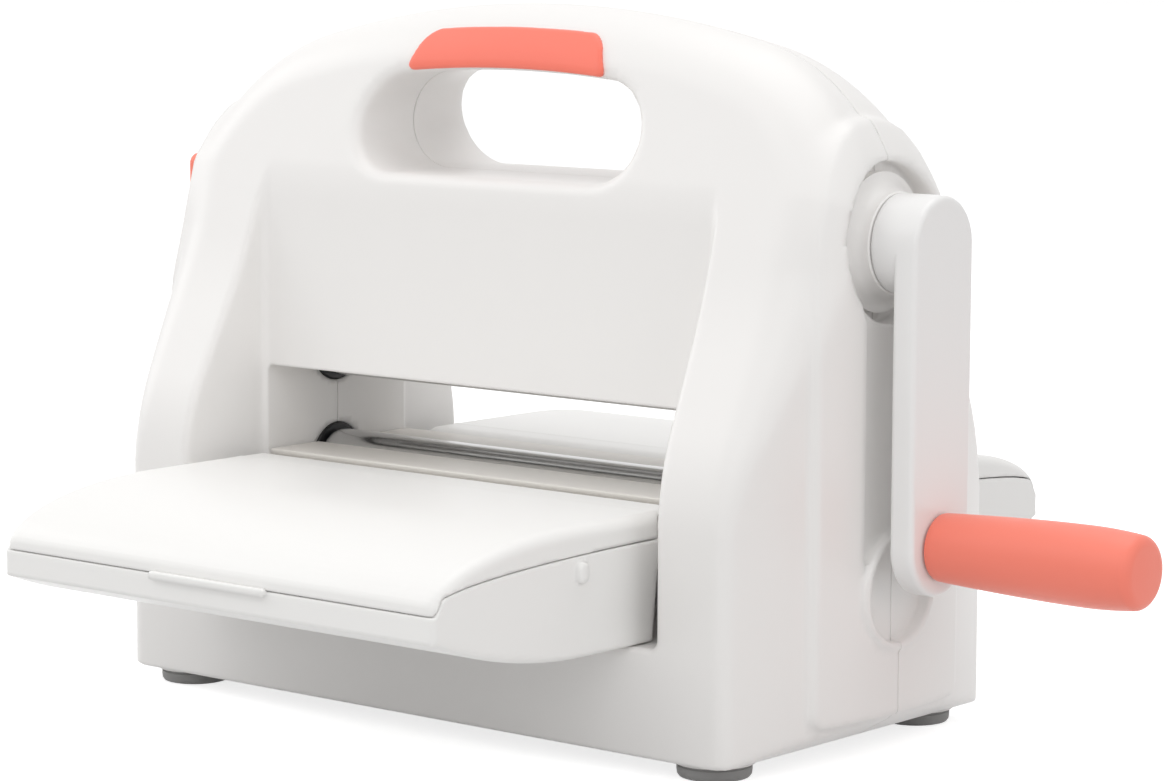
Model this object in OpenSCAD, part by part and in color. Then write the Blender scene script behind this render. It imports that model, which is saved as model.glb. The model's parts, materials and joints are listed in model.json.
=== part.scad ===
// Manual die cutting machine for paper craft: a crank drives two steel rollers that
// pull a stack of cutting plates through a slot. Two trays fold up between the pillars.
// Frame: +Z up, the front tray points to -Y, the crank is on +X.
// The origin lies on the table, midway between the four feet.

/* [Body] */
// Width of each pillar across the front, beside the feed slot
cheek_w = 30; // [26:0.5:40]
// Depth of the foot, front face to rear face
body_d = 129; // [125:1:150]
// Height of the top of the handle above the table
body_h = 219; // [205:1:245]
// How far each side bulges past the front edge at mid depth
side_bulge = 12.5; // [11:0.5:16]
// How far the arched side panel stands out of the side
panel_raise = 2.5; // [1.5:0.1:3]
// Half width of the arched side panel
panel_half = 36; // [30:1:38]
// Thickness of the moulded walls
wall = 2.6; // [2:0.1:3]
// Setback per millimetre of height in the steep part of the pillars
lean_low = 0.48; // [0.44:0.01:0.49]
// Edge round of the top, seen from the side
top_r = 14; // [10:0.5:15]

/* [Slot and trays] */
// Half width of the feed slot
slot_half = 90; // [80:0.5:105]
// Height of the lower edge of the centre panel
slot_top = 102; // [101:0.5:104]
// Height of the deck and of the tray tops
deck_z = 75; // [74:0.5:76]
// Thickness of the deck plates
deck_t = 3; // [2:0.5:3.5]
// Distance of the centre panel from the mid plane
panel_y = 32; // [31:0.5:33]
// Height of the floor under each tray
bay_floor = 37; // [30:0.5:38]
// Gap between a tray and the sides of the feed slot
tray_gap = 3; // [2:0.5:5]
// Distance of a tray's front edge from the mid plane
tray_reach = 148.5; // [140:0.5:155]
// Height of a tray at its deepest part, underside to top
tray_h = 37.7; // [34:0.1:38]
// Distance of a tray's hinge from the mid plane
hinge_y = 43; // [43:0.5:45]
// Depth of a tray's hinge below the deck surface
hinge_drop = 10; // [9:0.5:10]
// Radius of the hinge pins
hinge_pin_r = 2.5; // [2:0.1:3]
// Wall of the tray mouldings
tray_wall = 2.2; // [1.8:0.1:3]

/* [Handle] */
// Width of the hand hole
hole_w = 112; // [100:1:124]
// Height of the bar over the hand hole, at its middle
bar_h = 20; // [17:0.5:22]
// Height of the solid between the crank shaft and the hand hole
hole_floor = 7; // [6:0.5:12]
// Width of the soft grip
grip_w = 81; // [60:1:84]
// Thickness of the soft grip
grip_t = 1.4; // [1:0.1:2]

/* [Rollers] */
// Radius of both rollers
roller_r = 9.75; // [9:0.05:10]
// Height of the lower roller's axis
lower_z = 68.5; // [68:0.1:69]
// Radius of the roller journals
journal_r = 6; // [5:0.5:7]
// Outer radius of the roller bushings
bushing_r = 11.5; // [10:0.5:11.5]
// Thickness of the steel side plates
plate_t = 3.5; // [2.5:0.5:4]
// Teeth on each of the two gears that couple the rollers
timing_teeth = 25; // [24:1:26]
// Module of the coupling gears
timing_module = 1.5; // [1.45:0.05:1.55]
// Width of the coupling gears
timing_w = 10; // [8:0.5:11]

/* [Crank] */
// Teeth on the crank pinion
pinion_teeth = 14; // [13:1:15]
// Teeth on the drive gear of the upper roller
drive_teeth = 32; // [31:1:33]
// Module of the drive gears
drive_module = 2; // [1.95:0.05:2.05]
// Width of the drive gears
drive_w = 12; // [10:0.5:13]
// Radius of the crank shaft
crank_shaft_r = 7; // [6:0.5:7.5]
// Distance between the crank shaft and the knob axis
crank_throw = 87; // [80:1:90]
// Half width of the crank arm
arm_half = 14.6; // [13:0.1:15]
// Thickness of the crank arm
arm_t = 8.3; // [7:0.1:10]
// Height above the side panel at which the arm runs
arm_gap = 6; // [5:0.5:9]
// Length of the crank knob
knob_len = 68.5; // [65:0.5:90]
// Radius of the crank knob at its outer end
knob_r = 11.6; // [10:0.1:14]
// Radius of the coral knob on the left end of the shaft, at its corners
left_knob_r = 18; // [15:0.5:20]
// Half width of the left knob across its flats
left_knob_half = 14; // [12:0.5:15]

/* [Feet] */
// Radius of a rubber foot
foot_r = 11; // [9:0.5:12]
// Height of a rubber foot
foot_h = 4.3; // [3:0.1:4.5]
// Distance of a foot's axis from the side edge of the front face
foot_side = 14; // [13:0.5:25]
// Distance of a foot's axis from the front or rear face
foot_end = 14.5; // [14:0.5:25]

/* [Hidden] */

// Colours of the mouldings and metals
white = "#f4f2f0";
coral = "#ff8a78";
steel = "#b9bcc0";
dark = "#222326";
grey = "#8d8d8f";

// Clearances: running fit on a radius, seated fit on a radius, gap between curved faces
run_fit = 0.05;
seat_fit = 0.02;
free_gap = 0.3;
// Reach of a cut past the face that it opens
past = 1;

// Places of the feet, and the peg that holds each
foot_peg_r = 3;
foot_x = slot_half + cheek_w - foot_side;
foot_y = body_d/2 - foot_end;

// Underside of the mouldings, and half sizes of the foot
body_floor = foot_h + 1;
half_d = body_d/2;
half_front = slot_half + cheek_w;
half_w = half_front + side_bulge;
side_r = (half_d*half_d + side_bulge*side_bulge)/(2*side_bulge);

// Undercut along the foot of each side: its height at mid depth, and the length of its slope
toe_h = 7.4;
toe_len = norm([side_bulge, toe_h]);

// Heights where the pillars start and stop changing their slope
lean_start = deck_z - 3;
lean_full = slot_top - 2;
lean_ease = slot_top + 20;
lean_end = slot_top + 43;
crest_half = top_r - 0.5;
// Slope of the upper part, so that the faces meet the round of the top
lean_high = lean_low - (crest_half - half_d + lean_low*(body_h - (lean_start + lean_full)/2))
  /(body_h - (lean_ease + lean_end)/2);
lean_angle = atan(lean_high);

// Front view: a flat crown and two shoulder arcs, tangent to each other and to the sides
crown_r = 350;
shoulder_r = 60;
crown_z = body_h - crown_r;
shoulder_x = half_w - shoulder_r;
shoulder_z = crown_z + sqrt(pow(crown_r - shoulder_r, 2) - shoulder_x*shoulder_x);
shoulder_angle = atan2(shoulder_z - crown_z, shoulder_x);
tangent_z = shoulder_z + shoulder_r*sin(shoulder_angle);

// Round of the upright corners: small at the foot, wide at the top
corner_low = 5;
corner_high = 16;
corner_start = lean_start - 4;
corner_end = lean_end + 5;

// Bay between the pillars: its sides flare outwards towards the tray
bay_flare = 5;

// Axes
upper_z = lower_z + timing_module*timing_teeth;
crank_z = upper_z + drive_module*(pinion_teeth + drive_teeth)/2;
hinge_z = deck_z - hinge_drop;
knob_z = crank_z - crank_throw;
bay_top = crank_z + 23;

// Hand hole, between the crank shaft and the handle bar
hole_low = crank_z + crank_shaft_r + hole_floor;
hole_high = body_h - bar_h;
hole_h = hole_high - hole_low;
hole_z = (hole_low + hole_high)/2;

// Grips: how far they stay above the hand hole and below the crest, and the slant of their ends
grip_floor = 0.6;
grip_drop = 7.5;
grip_slant = 4;

// Places along X, measured out from the mid plane
plate_gap = 1.4;
plate_x = slot_half + wall + plate_gap;
plate_out = plate_x + plate_t;
flange_t = 2;
bushing_in = slot_half - 0.4;
roller_half = bushing_in - 1;
clip_t = 1.2;
shaft_tail = 2;
gear_x = plate_out + flange_t + clip_t + shaft_tail + 2*free_gap;
timing_end = gear_x + timing_w;
drive_end = gear_x + drive_w;
side_face = half_w + panel_raise;
recess_r = 23.5;
recess_depth = 11;
recess_x = side_face - recess_depth;
channel_half = 17;
channel_depth = 3;
collar_r = 15;
flare_r = 20.5;
flare_start = recess_x + 3;
flare_end = recess_x + 7;
collar_out = side_face - 2;
arm_x = side_face + arm_gap;
arm_out = arm_x + arm_t;
left_knob_x = side_face + 1;
left_knob_t = 7.5;

// Side plates
plate_foot_half = half_d - 14.5;
plate_foot_top = 30;
plate_top = crank_z + 18;
plate_half = pillar_y(plate_top) - wall - 2*free_gap;
pan_t = 3;
pan_top = body_floor + pan_t;
panel_low = pan_top + 5;
pan_seat = body_floor + 1.2;
pan_screw_in = 9;
flange_w = 14;

// Tie rods and screws
rod_r = 4;
rod_low = [22, 20];
rod_high = [20, crank_z - 18];
screw_r = 2;
screw_head_r = 3.8;
screw_head_t = 2.6;
screw_depth = 12;
boss_r = 6.2;
boss_low = [half_front - 8, 22];
boss_high = [slot_half - 10, body_h - 43];

// Tray: heights of its top, underside and seam, and how far each falls towards the nose
tray_half = slot_half - tray_gap;
tray_top = deck_z;
tray_under = deck_z - tray_h;
tray_back = hinge_y + 9;
seam_drop = 8;
seam_z = tray_top - seam_drop;
seam_fall = 6.8;
nose_seam = seam_z - 9.5;
nose_y = tray_reach - 1.5;
nose_low = tray_under + 12.2;
crown_y = tray_reach - 58.5;
crown_fall = 16.5;
belly_y = tray_reach - 63.5;
back_slant = 2.5;
ear_w = 6;
ear_r = 7.2;
ear_x = tray_half - ear_w - 0.8;
lip_r = hinge_drop;

// Click nubs on the tray's sides, the finger slot in its nose, and its screw posts
nub_r = 2.2;
nub_out = 1.8;
nub_y = tray_back + 35.5;
nub_z = seam_z - 5;
pull_half = 23;
pull_rise = 3.5;
pull_h = 2.4;
tray_post_r = 4.5;
tray_post_x = tray_half - 27;
tray_post_y = [tray_back + 14, tray_back + 60];
post_seat = tray_under + 10;

// Deck: clear of the tray's lip behind and of the roller in front
deck_reach = hinge_y - lip_r - 2*free_gap;
deck_edge = 1.4;
deck_bevel = 1.6;
roller_window = bushing_r + free_gap;

// Hinge pins end inside sockets behind the bay walls
hinge_pin_end = slot_half + bay_flare + wall + 2.4;
spigot_r = crank_shaft_r + 2.6;
spigot_len = 4;
crank_bushing_r = crank_shaft_r + 3;

// Crank arm, its steel core and the spindle of the knob
core_t = 3;
core_half = 9;
core_x = arm_x + 1.8;
shaft_inset = 2.5;
spindle_r = 4;
spindle_end = arm_out + knob_len - 9;
sleeve_r = spindle_r + 2.4;
sleeve_cap = 1.5;
knob_gap = 0.6;
knob_tip = 4;
knob_tip_r = 3.4;
neck_r = knob_r - 1.6;
neck_bevel = 0.8;
left_bevel = 2;

// Involute teeth: pressure angle, and play between the flanks
pressure_angle = 20;
tooth_play = 0.09;

function ramp(z, a, b) =
  z <= a ? 0 :
  z >= b ? z - (a + b)/2 :
  (z - a)*(z - a)/(2*(b - a));

// Distance of the pillar face from the mid plane at height z
function pillar_y(z) =
  half_d - lean_low*ramp(z, lean_start, lean_full)
  + (lean_low - lean_high)*ramp(z, lean_ease, lean_end);

// Half width of the barrel-shaped plan at a distance y from the mid plane
function barrel_x(y) = half_w - side_r + sqrt(side_r*side_r - y*y);

// Half width of the front view at height z
function outline_x(z) =
  z <= shoulder_z ? half_w :
  z <= tangent_z ? shoulder_x + sqrt(max(0, shoulder_r*shoulder_r - pow(z - shoulder_z, 2))) :
  sqrt(max(0, crown_r*crown_r - pow(z - crown_z, 2)));

// Round of the upright corners at height z
function corner_r(z) =
  corner_low + (corner_high - corner_low)*min(1, max(0, (z - lean_start)/(lean_end - lean_start)));

function corner_x(z) = min(barrel_x(pillar_y(z)), outline_x(z));

// Heights at which the leaning faces are given a corner
function levels(z0, t) = concat(
  [z0],
  [for (i = [0:12]) corner_start + (corner_end - corner_start)*i/12],
  [for (i = [1:9]) corner_end + (body_h - t - corner_end)*i/9]
);

// Side view of the body, inset by t
function side_profile(z0, t) =
  let (
    top = body_h - t,
    start_z = top - top_r*(1 - sin(lean_angle)),
    arc_y = pillar_y(start_z) - t - top_r*cos(lean_angle),
    rise = concat(
      [z0, lean_start],
      [for (i = [1:12]) lean_start + (lean_end - lean_start)*i/12]
    ),
    right = concat(
      [for (z = rise) [pillar_y(z) - t, z]],
      [for (i = [0:8])
        let (a = lean_angle + (90 - lean_angle)*i/8)
        [arc_y + top_r*cos(a), top - top_r + top_r*sin(a)]]
    )
  )
  concat(right, [for (i = [len(right) - 1:-1:0]) [-right[i][0], right[i][1]]]);

// Front view of the body, inset by t
function front_outline(z0, t) =
  let (
    right = concat(
      [
        [half_front + ((z0 - body_floor)*side_bulge - t*toe_len)/toe_h, z0],
        [half_w - t, body_floor + toe_h + t*(toe_len - toe_h)/side_bulge]
      ],
      [for (i = [0:12])
        let (a = shoulder_angle*i/12)
        [shoulder_x + (shoulder_r - t)*cos(a), shoulder_z + (shoulder_r - t)*sin(a)]],
      [for (i = [1:6])
        let (a = shoulder_angle + (90 - shoulder_angle)*i/6)
        [(crown_r - t)*cos(a), crown_z + (crown_r - t)*sin(a)]]
    )
  )
  concat(right, [for (i = [len(right) - 2:-1:0]) [-right[i][0], right[i][1]]]);

// Upright corner seen along a direction a degrees off X, inset by t
function corner_profile(z0, t, a) =
  let (
    right = [for (z = levels(z0, t))
      let (r = corner_r(z))
      [max(1, (corner_x(z) - r)*cos(a) + (max(pillar_y(z), r + 1) - r)*sin(a) + r - t), z]]
  )
  concat(right, [for (i = [len(right) - 1:-1:0]) [-right[i][0], right[i][1]]]);

// Turns a drawing in (Y, Z) into a bar along X between x0 and x1
module along_x(x0, x1) {
  translate([x0, 0, 0])
    rotate([90, 0, 90])
      linear_extrude(height = x1 - x0)
        children();
}

// Turns a drawing in (X, Z) into a bar along Y between y0 and y1
module along_y(y0, y1) {
  translate([0, y1, 0])
    rotate([90, 0, 0])
      linear_extrude(height = y1 - y0)
        children();
}

module bar_x(r, x0, x1, y, z) {
  along_x(x0, x1) translate([y, z]) circle(r = r, $fn = 96);
}

module bar_y(r, y0, y1, x, z) {
  along_y(y0, y1) translate([x, z]) circle(r = r, $fn = 96);
}

module ring_x(r, bore, x0, x1, y, z) {
  difference() {
    bar_x(r, x0, x1, y, z);
    bar_x(bore, x0 - past, x1 + past, y, z);
  }
}

// Outer form of the body, inset by t, from height z0 up
module body_form(t, z0) {
  reach = half_w + panel_raise + 10;
  intersection() {
    along_x(-reach, reach) polygon(side_profile(z0, t));
    along_y(-reach, reach) polygon(front_outline(z0, t));
    linear_extrude(height = body_h + 10)
      intersection() {
        translate([side_r - half_w, 0]) circle(r = side_r - t, $fn = 180);
        translate([half_w - side_r, 0]) circle(r = side_r - t, $fn = 180);
      }
    for (a = [25, 45, 65]) corner_pair(t, z0, a);
  }
}

module corner_pair(t, z0, a) {
  reach = half_w + panel_raise + 10;
  intersection() {
    rotate([0, 0, a]) along_y(-reach, reach) polygon(corner_profile(z0, t, a));
    rotate([0, 0, -a]) along_y(-reach, reach) polygon(corner_profile(z0, t, a));
  }
}

module arch_panel() {
  intersection() {
    body_form(-panel_raise, body_floor);
    along_x(-2*half_w, 2*half_w) {
      translate([-panel_half, panel_low]) square([2*panel_half, crank_z - panel_low]);
      translate([0, crank_z]) circle(r = panel_half, $fn = 96);
    }
  }
}

// Hand hole, grown by g on every side
module hand_hole(g) {
  r = hole_h/2 + g;
  half = (hole_w - hole_h)/2;
  along_y(-half_d, half_d) {
    for (s = [-1, 1]) translate([s*half, hole_z]) circle(r = r, $fn = 96);
    translate([-half, hole_z - r]) square([2*half, 2*r]);
  }
}

// The two bays in front of and behind the centre panel, grown by g
module tray_bays(g) {
  for (m = [0, 1])
    mirror([0, m, 0])
      translate([0, 0, bay_floor - g])
        linear_extrude(height = bay_top - bay_floor + g)
          polygon([
            [-slot_half - g, -panel_y + g],
            [slot_half + g, -panel_y + g],
            [slot_half + bay_flare + g, -half_d - past],
            [-slot_half - bay_flare - g, -half_d - past]
          ]);
}

module feed_slot(g) {
  translate([-slot_half - g, -panel_y - past, deck_z - deck_t - g])
    cube([2*(slot_half + g), 2*(panel_y + past), slot_top - deck_z + deck_t + 2*g]);
}

// Windows through which the rollers reach into the slot
module roller_windows() {
  translate([-slot_half, -roller_window, lower_z - roller_window])
    cube([2*slot_half, 2*roller_window, upper_z - lower_z + 2*roller_window]);
}

// Seat of the crank's collar and the channel behind the crank arm
module crank_recess(g) {
  bar_x(recess_r + g, recess_x - g, side_face + past, 0, crank_z);
  along_x(side_face - channel_depth - g, side_face + past) {
    translate([-channel_half - g, knob_z - arm_half])
      square([2*(channel_half + g), crank_throw + arm_half]);
    translate([0, knob_z - arm_half]) circle(r = channel_half + g, $fn = 96);
  }
}

// Posts inside the shells that take the shell screws, and the sockets of the hinge pins
module shell_posts() {
  intersection() {
    body_form(wall/2, body_floor);
    union() {
      for (p = [boss_low, boss_high], s = [-1, 1])
        bar_y(boss_r, -half_d, half_d, s*p[0], p[1]);
      for (s = [-1, 1], m = [-1, 1])
        bar_x(hinge_pin_r + 2.5, min(s*(slot_half + 1), s*hinge_pin_end),
              max(s*(slot_half + 1), s*hinge_pin_end), m*hinge_y, hinge_z);
    }
  }
}

module shell_screw_holes() {
  for (p = [boss_low, boss_high], s = [-1, 1]) {
    bar_y(screw_r + seat_fit, -screw_depth, screw_depth, s*p[0], p[1]);
    bar_y(screw_head_r + free_gap, screw_depth - screw_head_t, half_d + past, s*p[0], p[1]);
  }
}

module shell_solid() {
  difference() {
    union() {
      body_form(0, body_floor);
      arch_panel();
    }
    difference() {
      body_form(wall, body_floor - past);
      tray_bays(wall);
      feed_slot(wall);
      hand_hole(wall);
      crank_recess(wall);
      shell_posts();
    }
    tray_bays(0);
    feed_slot(0);
    hand_hole(0);
    crank_recess(0);
    roller_windows();
    for (z = [lower_z, upper_z]) {
      bar_x(bushing_r + free_gap, -slot_half - wall - past, slot_half + wall + past, 0, z);
    }
    bar_x(spigot_r + free_gap, 0, side_face, 0, crank_z);
    bar_x(crank_shaft_r + 2*free_gap, -side_face - past, 0, 0, crank_z);
    shell_screw_holes();
    for (s = [-1, 1], m = [-1, 1])
      bar_x(hinge_pin_r + seat_fit, min(s*slot_half, s*(hinge_pin_end - 1)) ,
            max(s*slot_half, s*(hinge_pin_end - 1)), m*hinge_y, hinge_z);
  }
}

module half_space(s) {
  big = 3*half_w;
  translate([-big, s > 0 ? 0 : -big, -past]) cube([2*big, big, body_h + 10]);
}

module front_shell() {
  color(white) intersection() {
    shell_solid();
    half_space(-1);
  }
}

module rear_shell() {
  color(white) intersection() {
    shell_solid();
    half_space(1);
  }
}

module at_feet() {
  for (x = [-foot_x, foot_x], y = [-foot_y, foot_y])
    translate([x, y, 0])
      children();
}

module base_pan() {
  color(white) difference() {
    union() {
      intersection() {
        body_form(wall + free_gap, body_floor);
        translate([-half_w, -half_d, body_floor]) cube([2*half_w, 2*half_d, pan_t]);
      }
      at_feet() translate([0, 0, foot_h]) cylinder(r = foot_r + 1, h = body_floor - foot_h, $fn = 96);
    }
    at_feet() cylinder(r = foot_peg_r + seat_fit, h = pan_top + past, $fn = 48);
    for (s = [-1, 1]) bar_y(boss_r + free_gap, -half_d, half_d, s*boss_low[0], boss_low[1]);
    at_pan_screws() cylinder(r = screw_r + seat_fit, h = pan_top + past, $fn = 48);
    at_pan_screws() cylinder(r = screw_head_r + free_gap, h = pan_seat, $fn = 48);
  }
}

module feet() {
  color(grey) at_feet() {
    cylinder(r = foot_r, h = foot_h, $fn = 96);
    cylinder(r = foot_peg_r, h = pan_top, $fn = 48);
  }
}

// Soft grip: a pad on the front and one on the rear of the bar above the hand hole
module grip_pad() {
  color(coral) intersection() {
    difference() {
      body_form(-grip_t, body_floor);
      body_form(0, body_floor);
    }
    along_y(-panel_y, panel_y)
      polygon([
        [-grip_w/2, hole_high + grip_floor],
        [grip_w/2, hole_high + grip_floor],
        [grip_w/2 - grip_slant, body_h - grip_drop],
        [grip_slant - grip_w/2, body_h - grip_drop]
      ]);
  }
}

module deck() {
  difference() {
    along_x(-bushing_in + 2*free_gap, bushing_in - 2*free_gap)
      polygon([
        [-deck_reach, deck_z],
        [-deck_reach, deck_z - deck_edge],
        [-panel_y + 1, deck_z - deck_t],
        [-roller_window, deck_z - deck_t],
        [-roller_window + deck_bevel, deck_z]
      ]);
    bar_x(lip_r + 2*free_gap, -slot_half, slot_half, -hinge_y, hinge_z);
    bar_x(roller_r + 3*free_gap, -slot_half, slot_half, 0, lower_z);
    for (s = [-1, 1])
      bar_x(bushing_r + free_gap, min(s*bushing_in, s*(bushing_in - 1)),
            max(s*bushing_in, s*(bushing_in - 1)), 0, lower_z);
  }
}

module front_deck() { color(white) deck(); }
module rear_deck() { color(white) mirror([0, 1, 0]) deck(); }

// Steel plate that carries the bushings, with a foot flange on the base pan
module side_plate(s) {
  color(steel) mirror([s < 0 ? 1 : 0, 0, 0]) difference() {
    union() {
      along_x(plate_x, plate_out) {
        translate([-plate_foot_half, pan_top]) square([2*plate_foot_half, plate_foot_top - pan_top]);
        translate([-plate_half, pan_top]) square([2*plate_half, plate_top - pan_top]);
      }
      translate([plate_x - flange_w, -plate_foot_half, pan_top])
        cube([flange_w + past, 2*plate_foot_half, plate_t]);
    }
    for (z = [lower_z, upper_z])
      bar_x(bushing_r + seat_fit, plate_x - past, plate_out + past, 0, z);
    bar_x(crank_bushing_r + seat_fit, plate_x - past, plate_out + past, 0, crank_z);
    for (p = [rod_low, rod_high], m = [-1, 1])
      bar_x(screw_r + seat_fit, plate_x - past, plate_out + past, m*p[0], p[1]);
    at_pan_screws() cylinder(r = screw_r + seat_fit, h = plate_foot_top, $fn = 48);
  }
}

module left_side_plate() { side_plate(-1); }
module right_side_plate() { side_plate(1); }

module tie_rods() {
  color(steel) for (p = [rod_low, rod_high], m = [-1, 1])
    difference() {
      bar_x(rod_r, -plate_x, plate_x, m*p[0], p[1]);
      for (s = [0, 1])
        mirror([s, 0, 0]) bar_x(screw_r + seat_fit, plate_x - screw_depth, plate_x + past, m*p[0], p[1]);
    }
}

module at_pan_screws() {
  for (x = [-1, 1], y = [-1, 1])
    translate([x*(plate_x - flange_w/2), y*(plate_foot_half - pan_screw_in), 0])
      children();
}

module frame_screws() {
  color(dark) {
    for (p = [rod_low, rod_high], m = [-1, 1], s = [0, 1])
      mirror([s, 0, 0]) {
        bar_x(screw_head_r, plate_out, plate_out + screw_head_t, m*p[0], p[1]);
        bar_x(screw_r, plate_x - screw_depth + 1, plate_out + 0.1, m*p[0], p[1]);
      }
    at_pan_screws() {
      translate([0, 0, pan_seat - screw_head_t]) cylinder(r = screw_head_r, h = screw_head_t, $fn = 48);
      translate([0, 0, body_floor]) cylinder(r = screw_r, h = pan_t + plate_t, $fn = 48);
    }
  }
}

module shell_screws() {
  color(dark) for (p = [boss_low, boss_high], s = [-1, 1]) {
    bar_y(screw_head_r, screw_depth - screw_head_t, screw_depth, s*p[0], p[1]);
    bar_y(screw_r, -screw_depth + 1, screw_depth - 0.1, s*p[0], p[1]);
  }
}

// Flanged plain bearing seated in a side plate; s is the side, r its outer radius
module bushing(s, r, bore, z, inner) {
  color(dark) mirror([s < 0 ? 1 : 0, 0, 0]) difference() {
    union() {
      bar_x(r, inner, plate_out + flange_t/2, 0, z);
      bar_x(r + 2, plate_out, plate_out + flange_t, 0, z);
    }
    bar_x(bore + run_fit, inner - past, plate_out + flange_t + past, 0, z);
  }
}

module lower_left_bushing() { bushing(-1, bushing_r, journal_r, lower_z, bushing_in); }
module lower_right_bushing() { bushing(1, bushing_r, journal_r, lower_z, bushing_in); }
module upper_left_bushing() { bushing(-1, bushing_r, journal_r, upper_z, bushing_in); }
module upper_right_bushing() { bushing(1, bushing_r, journal_r, upper_z, bushing_in); }
module crank_left_bushing() { bushing(-1, crank_bushing_r, crank_shaft_r, crank_z, plate_x - 2); }
module crank_right_bushing() { bushing(1, crank_bushing_r, crank_shaft_r, crank_z, plate_x - 2); }

// Fixed barrel around the crank shaft on the right side, flared towards its foot
module crank_collar() {
  color(white) difference() {
    union() {
      bar_x(collar_r, recess_x, collar_out, 0, crank_z);
      bar_x(flare_r, recess_x, flare_start, 0, crank_z);
      translate([flare_start, 0, crank_z])
        rotate([0, 90, 0]) cylinder(r1 = flare_r, r2 = collar_r, h = flare_end - flare_start, $fn = 96);
      bar_x(spigot_r, recess_x - spigot_len, recess_x + past, 0, crank_z);
    }
    bar_x(crank_shaft_r + run_fit, recess_x - spigot_len - past, collar_out + past, 0, crank_z);
  }
}

module hinge_pins(m) {
  color(steel) for (s = [0, 1])
    mirror([s, 0, 0])
      bar_x(hinge_pin_r, ear_x - 1.5, hinge_pin_end - 1, m*hinge_y, hinge_z);
}

module front_hinge_pins() { hinge_pins(-1); }
module rear_hinge_pins() { hinge_pins(1); }

// Involute tooth, as the half angle that it fills at radius r
function roll(a) = tan(a)*180/PI - a;
function tooth_angle(r, m, n) =
  let (
    pitch = m*n/2,
    base = pitch*cos(pressure_angle),
    slack = tooth_play*180/(PI*pitch)
  )
  90/n - slack + roll(pressure_angle) - (r > base ? roll(acos(base/r)) : 0);

// Outline of a spur gear of module m with n teeth; one tooth points to +Z
module gear_outline(m, n, phase) {
  pitch = m*n/2;
  root = pitch - 1.25*m;
  tip = pitch + 0.95*m;
  radii = [root, max(root + 0.1*m, pitch - 0.6*m), pitch - 0.2*m, pitch + 0.4*m, tip];
  polygon([
    for (k = [0:n - 1])
      let (mid = 90 + phase + 360*k/n)
      each concat(
        [for (r = radii) r*[cos(mid - tooth_angle(r, m, n)), sin(mid - tooth_angle(r, m, n))]],
        [for (i = [4:-1:0])
          let (r = radii[i]) r*[cos(mid + tooth_angle(r, m, n)), sin(mid + tooth_angle(r, m, n))]]
      )
  ]);
}

module gear_x_at(m, n, phase, bore, x0, x1, z) {
  difference() {
    along_x(x0, x1) translate([0, z]) gear_outline(m, n, phase);
    bar_x(bore + seat_fit, x0 - past, x1 + past, 0, z);
  }
}

// Ring that holds a gear on its shaft
module shaft_clip(x, r, z) {
  ring_x(r + 2.2, r + seat_fit, x, x + clip_t, 0, z);
}

module roller(left, right, z) {
  color(steel) {
    bar_x(roller_r, -roller_half, roller_half, 0, z);
    bar_x(journal_r, -left, right, 0, z);
  }
}

module upper_roller() {
  roller(timing_end + clip_t + shaft_tail, drive_end + clip_t + shaft_tail, upper_z);
}

module lower_roller() {
  roller(timing_end + clip_t + shaft_tail, gear_x - free_gap, lower_z);
}

module drive_gear() {
  color(steel) gear_x_at(drive_module, drive_teeth, 0, journal_r, gear_x, drive_end, upper_z);
}

module drive_pinion() {
  color(steel)
    gear_x_at(drive_module, pinion_teeth, 180 + 180/pinion_teeth, crank_shaft_r,
              gear_x, drive_end, crank_z);
}

module upper_timing_gear() {
  color(dark)
    gear_x_at(timing_module, timing_teeth, 180 + 180/timing_teeth, journal_r,
              -timing_end, -gear_x, upper_z);
}

module lower_timing_gear() {
  color(dark)
    gear_x_at(timing_module, timing_teeth, 0, journal_r, -timing_end, -gear_x, lower_z);
}

module upper_shaft_clips() {
  color(steel) {
    shaft_clip(drive_end, journal_r, upper_z);
    mirror([1, 0, 0]) shaft_clip(timing_end, journal_r, upper_z);
  }
}

module lower_shaft_clips() {
  color(steel) {
    shaft_clip(plate_out + flange_t + free_gap, journal_r, lower_z);
    mirror([1, 0, 0]) shaft_clip(timing_end, journal_r, lower_z);
  }
}

module crank_shaft() {
  color(steel)
    bar_x(crank_shaft_r, -left_knob_x - left_knob_t + 2, arm_out - shaft_inset, 0, crank_z);
}

module crank_shaft_clips() {
  color(steel) {
    shaft_clip(drive_end, crank_shaft_r, crank_z);
    mirror([1, 0, 0]) shaft_clip(plate_out + flange_t + free_gap, crank_shaft_r, crank_z);
  }
}

module arm_outline(r) {
  for (z = [crank_z, knob_z]) translate([0, z]) circle(r = r, $fn = 96);
  translate([-r, knob_z]) square([2*r, crank_throw]);
}

// White arm: a thick boss around the shaft and a plate down to the knob
module crank_arm() {
  color(white) difference() {
    union() {
      along_x(arm_x, arm_out) arm_outline(arm_half);
      bar_x(arm_half, collar_out + free_gap, arm_x + past, 0, crank_z);
    }
    along_x(core_x, core_x + core_t) arm_outline(core_half);
    bar_x(crank_shaft_r + seat_fit, collar_out - past, arm_out - shaft_inset, 0, crank_z);
    bar_x(spindle_r + seat_fit, core_x, arm_out + past, 0, knob_z);
    bar_x(screw_r + seat_fit, arm_out - shaft_inset - past, arm_out + past, 0, crank_z);
  }
}

// Steel strip inside the arm that joins the shaft to the spindle
module arm_core() {
  color(steel) difference() {
    along_x(core_x, core_x + core_t) arm_outline(core_half);
    bar_x(crank_shaft_r + seat_fit, core_x - past, core_x + core_t + past, 0, crank_z);
    bar_x(spindle_r + seat_fit, core_x - past, core_x + core_t + past, 0, knob_z);
  }
}

module arm_screw() {
  color(dark) bar_x(screw_r, arm_out - shaft_inset, arm_out, 0, crank_z);
}

module knob_spindle() {
  color(steel) bar_x(spindle_r, core_x, spindle_end, 0, knob_z);
}

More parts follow.
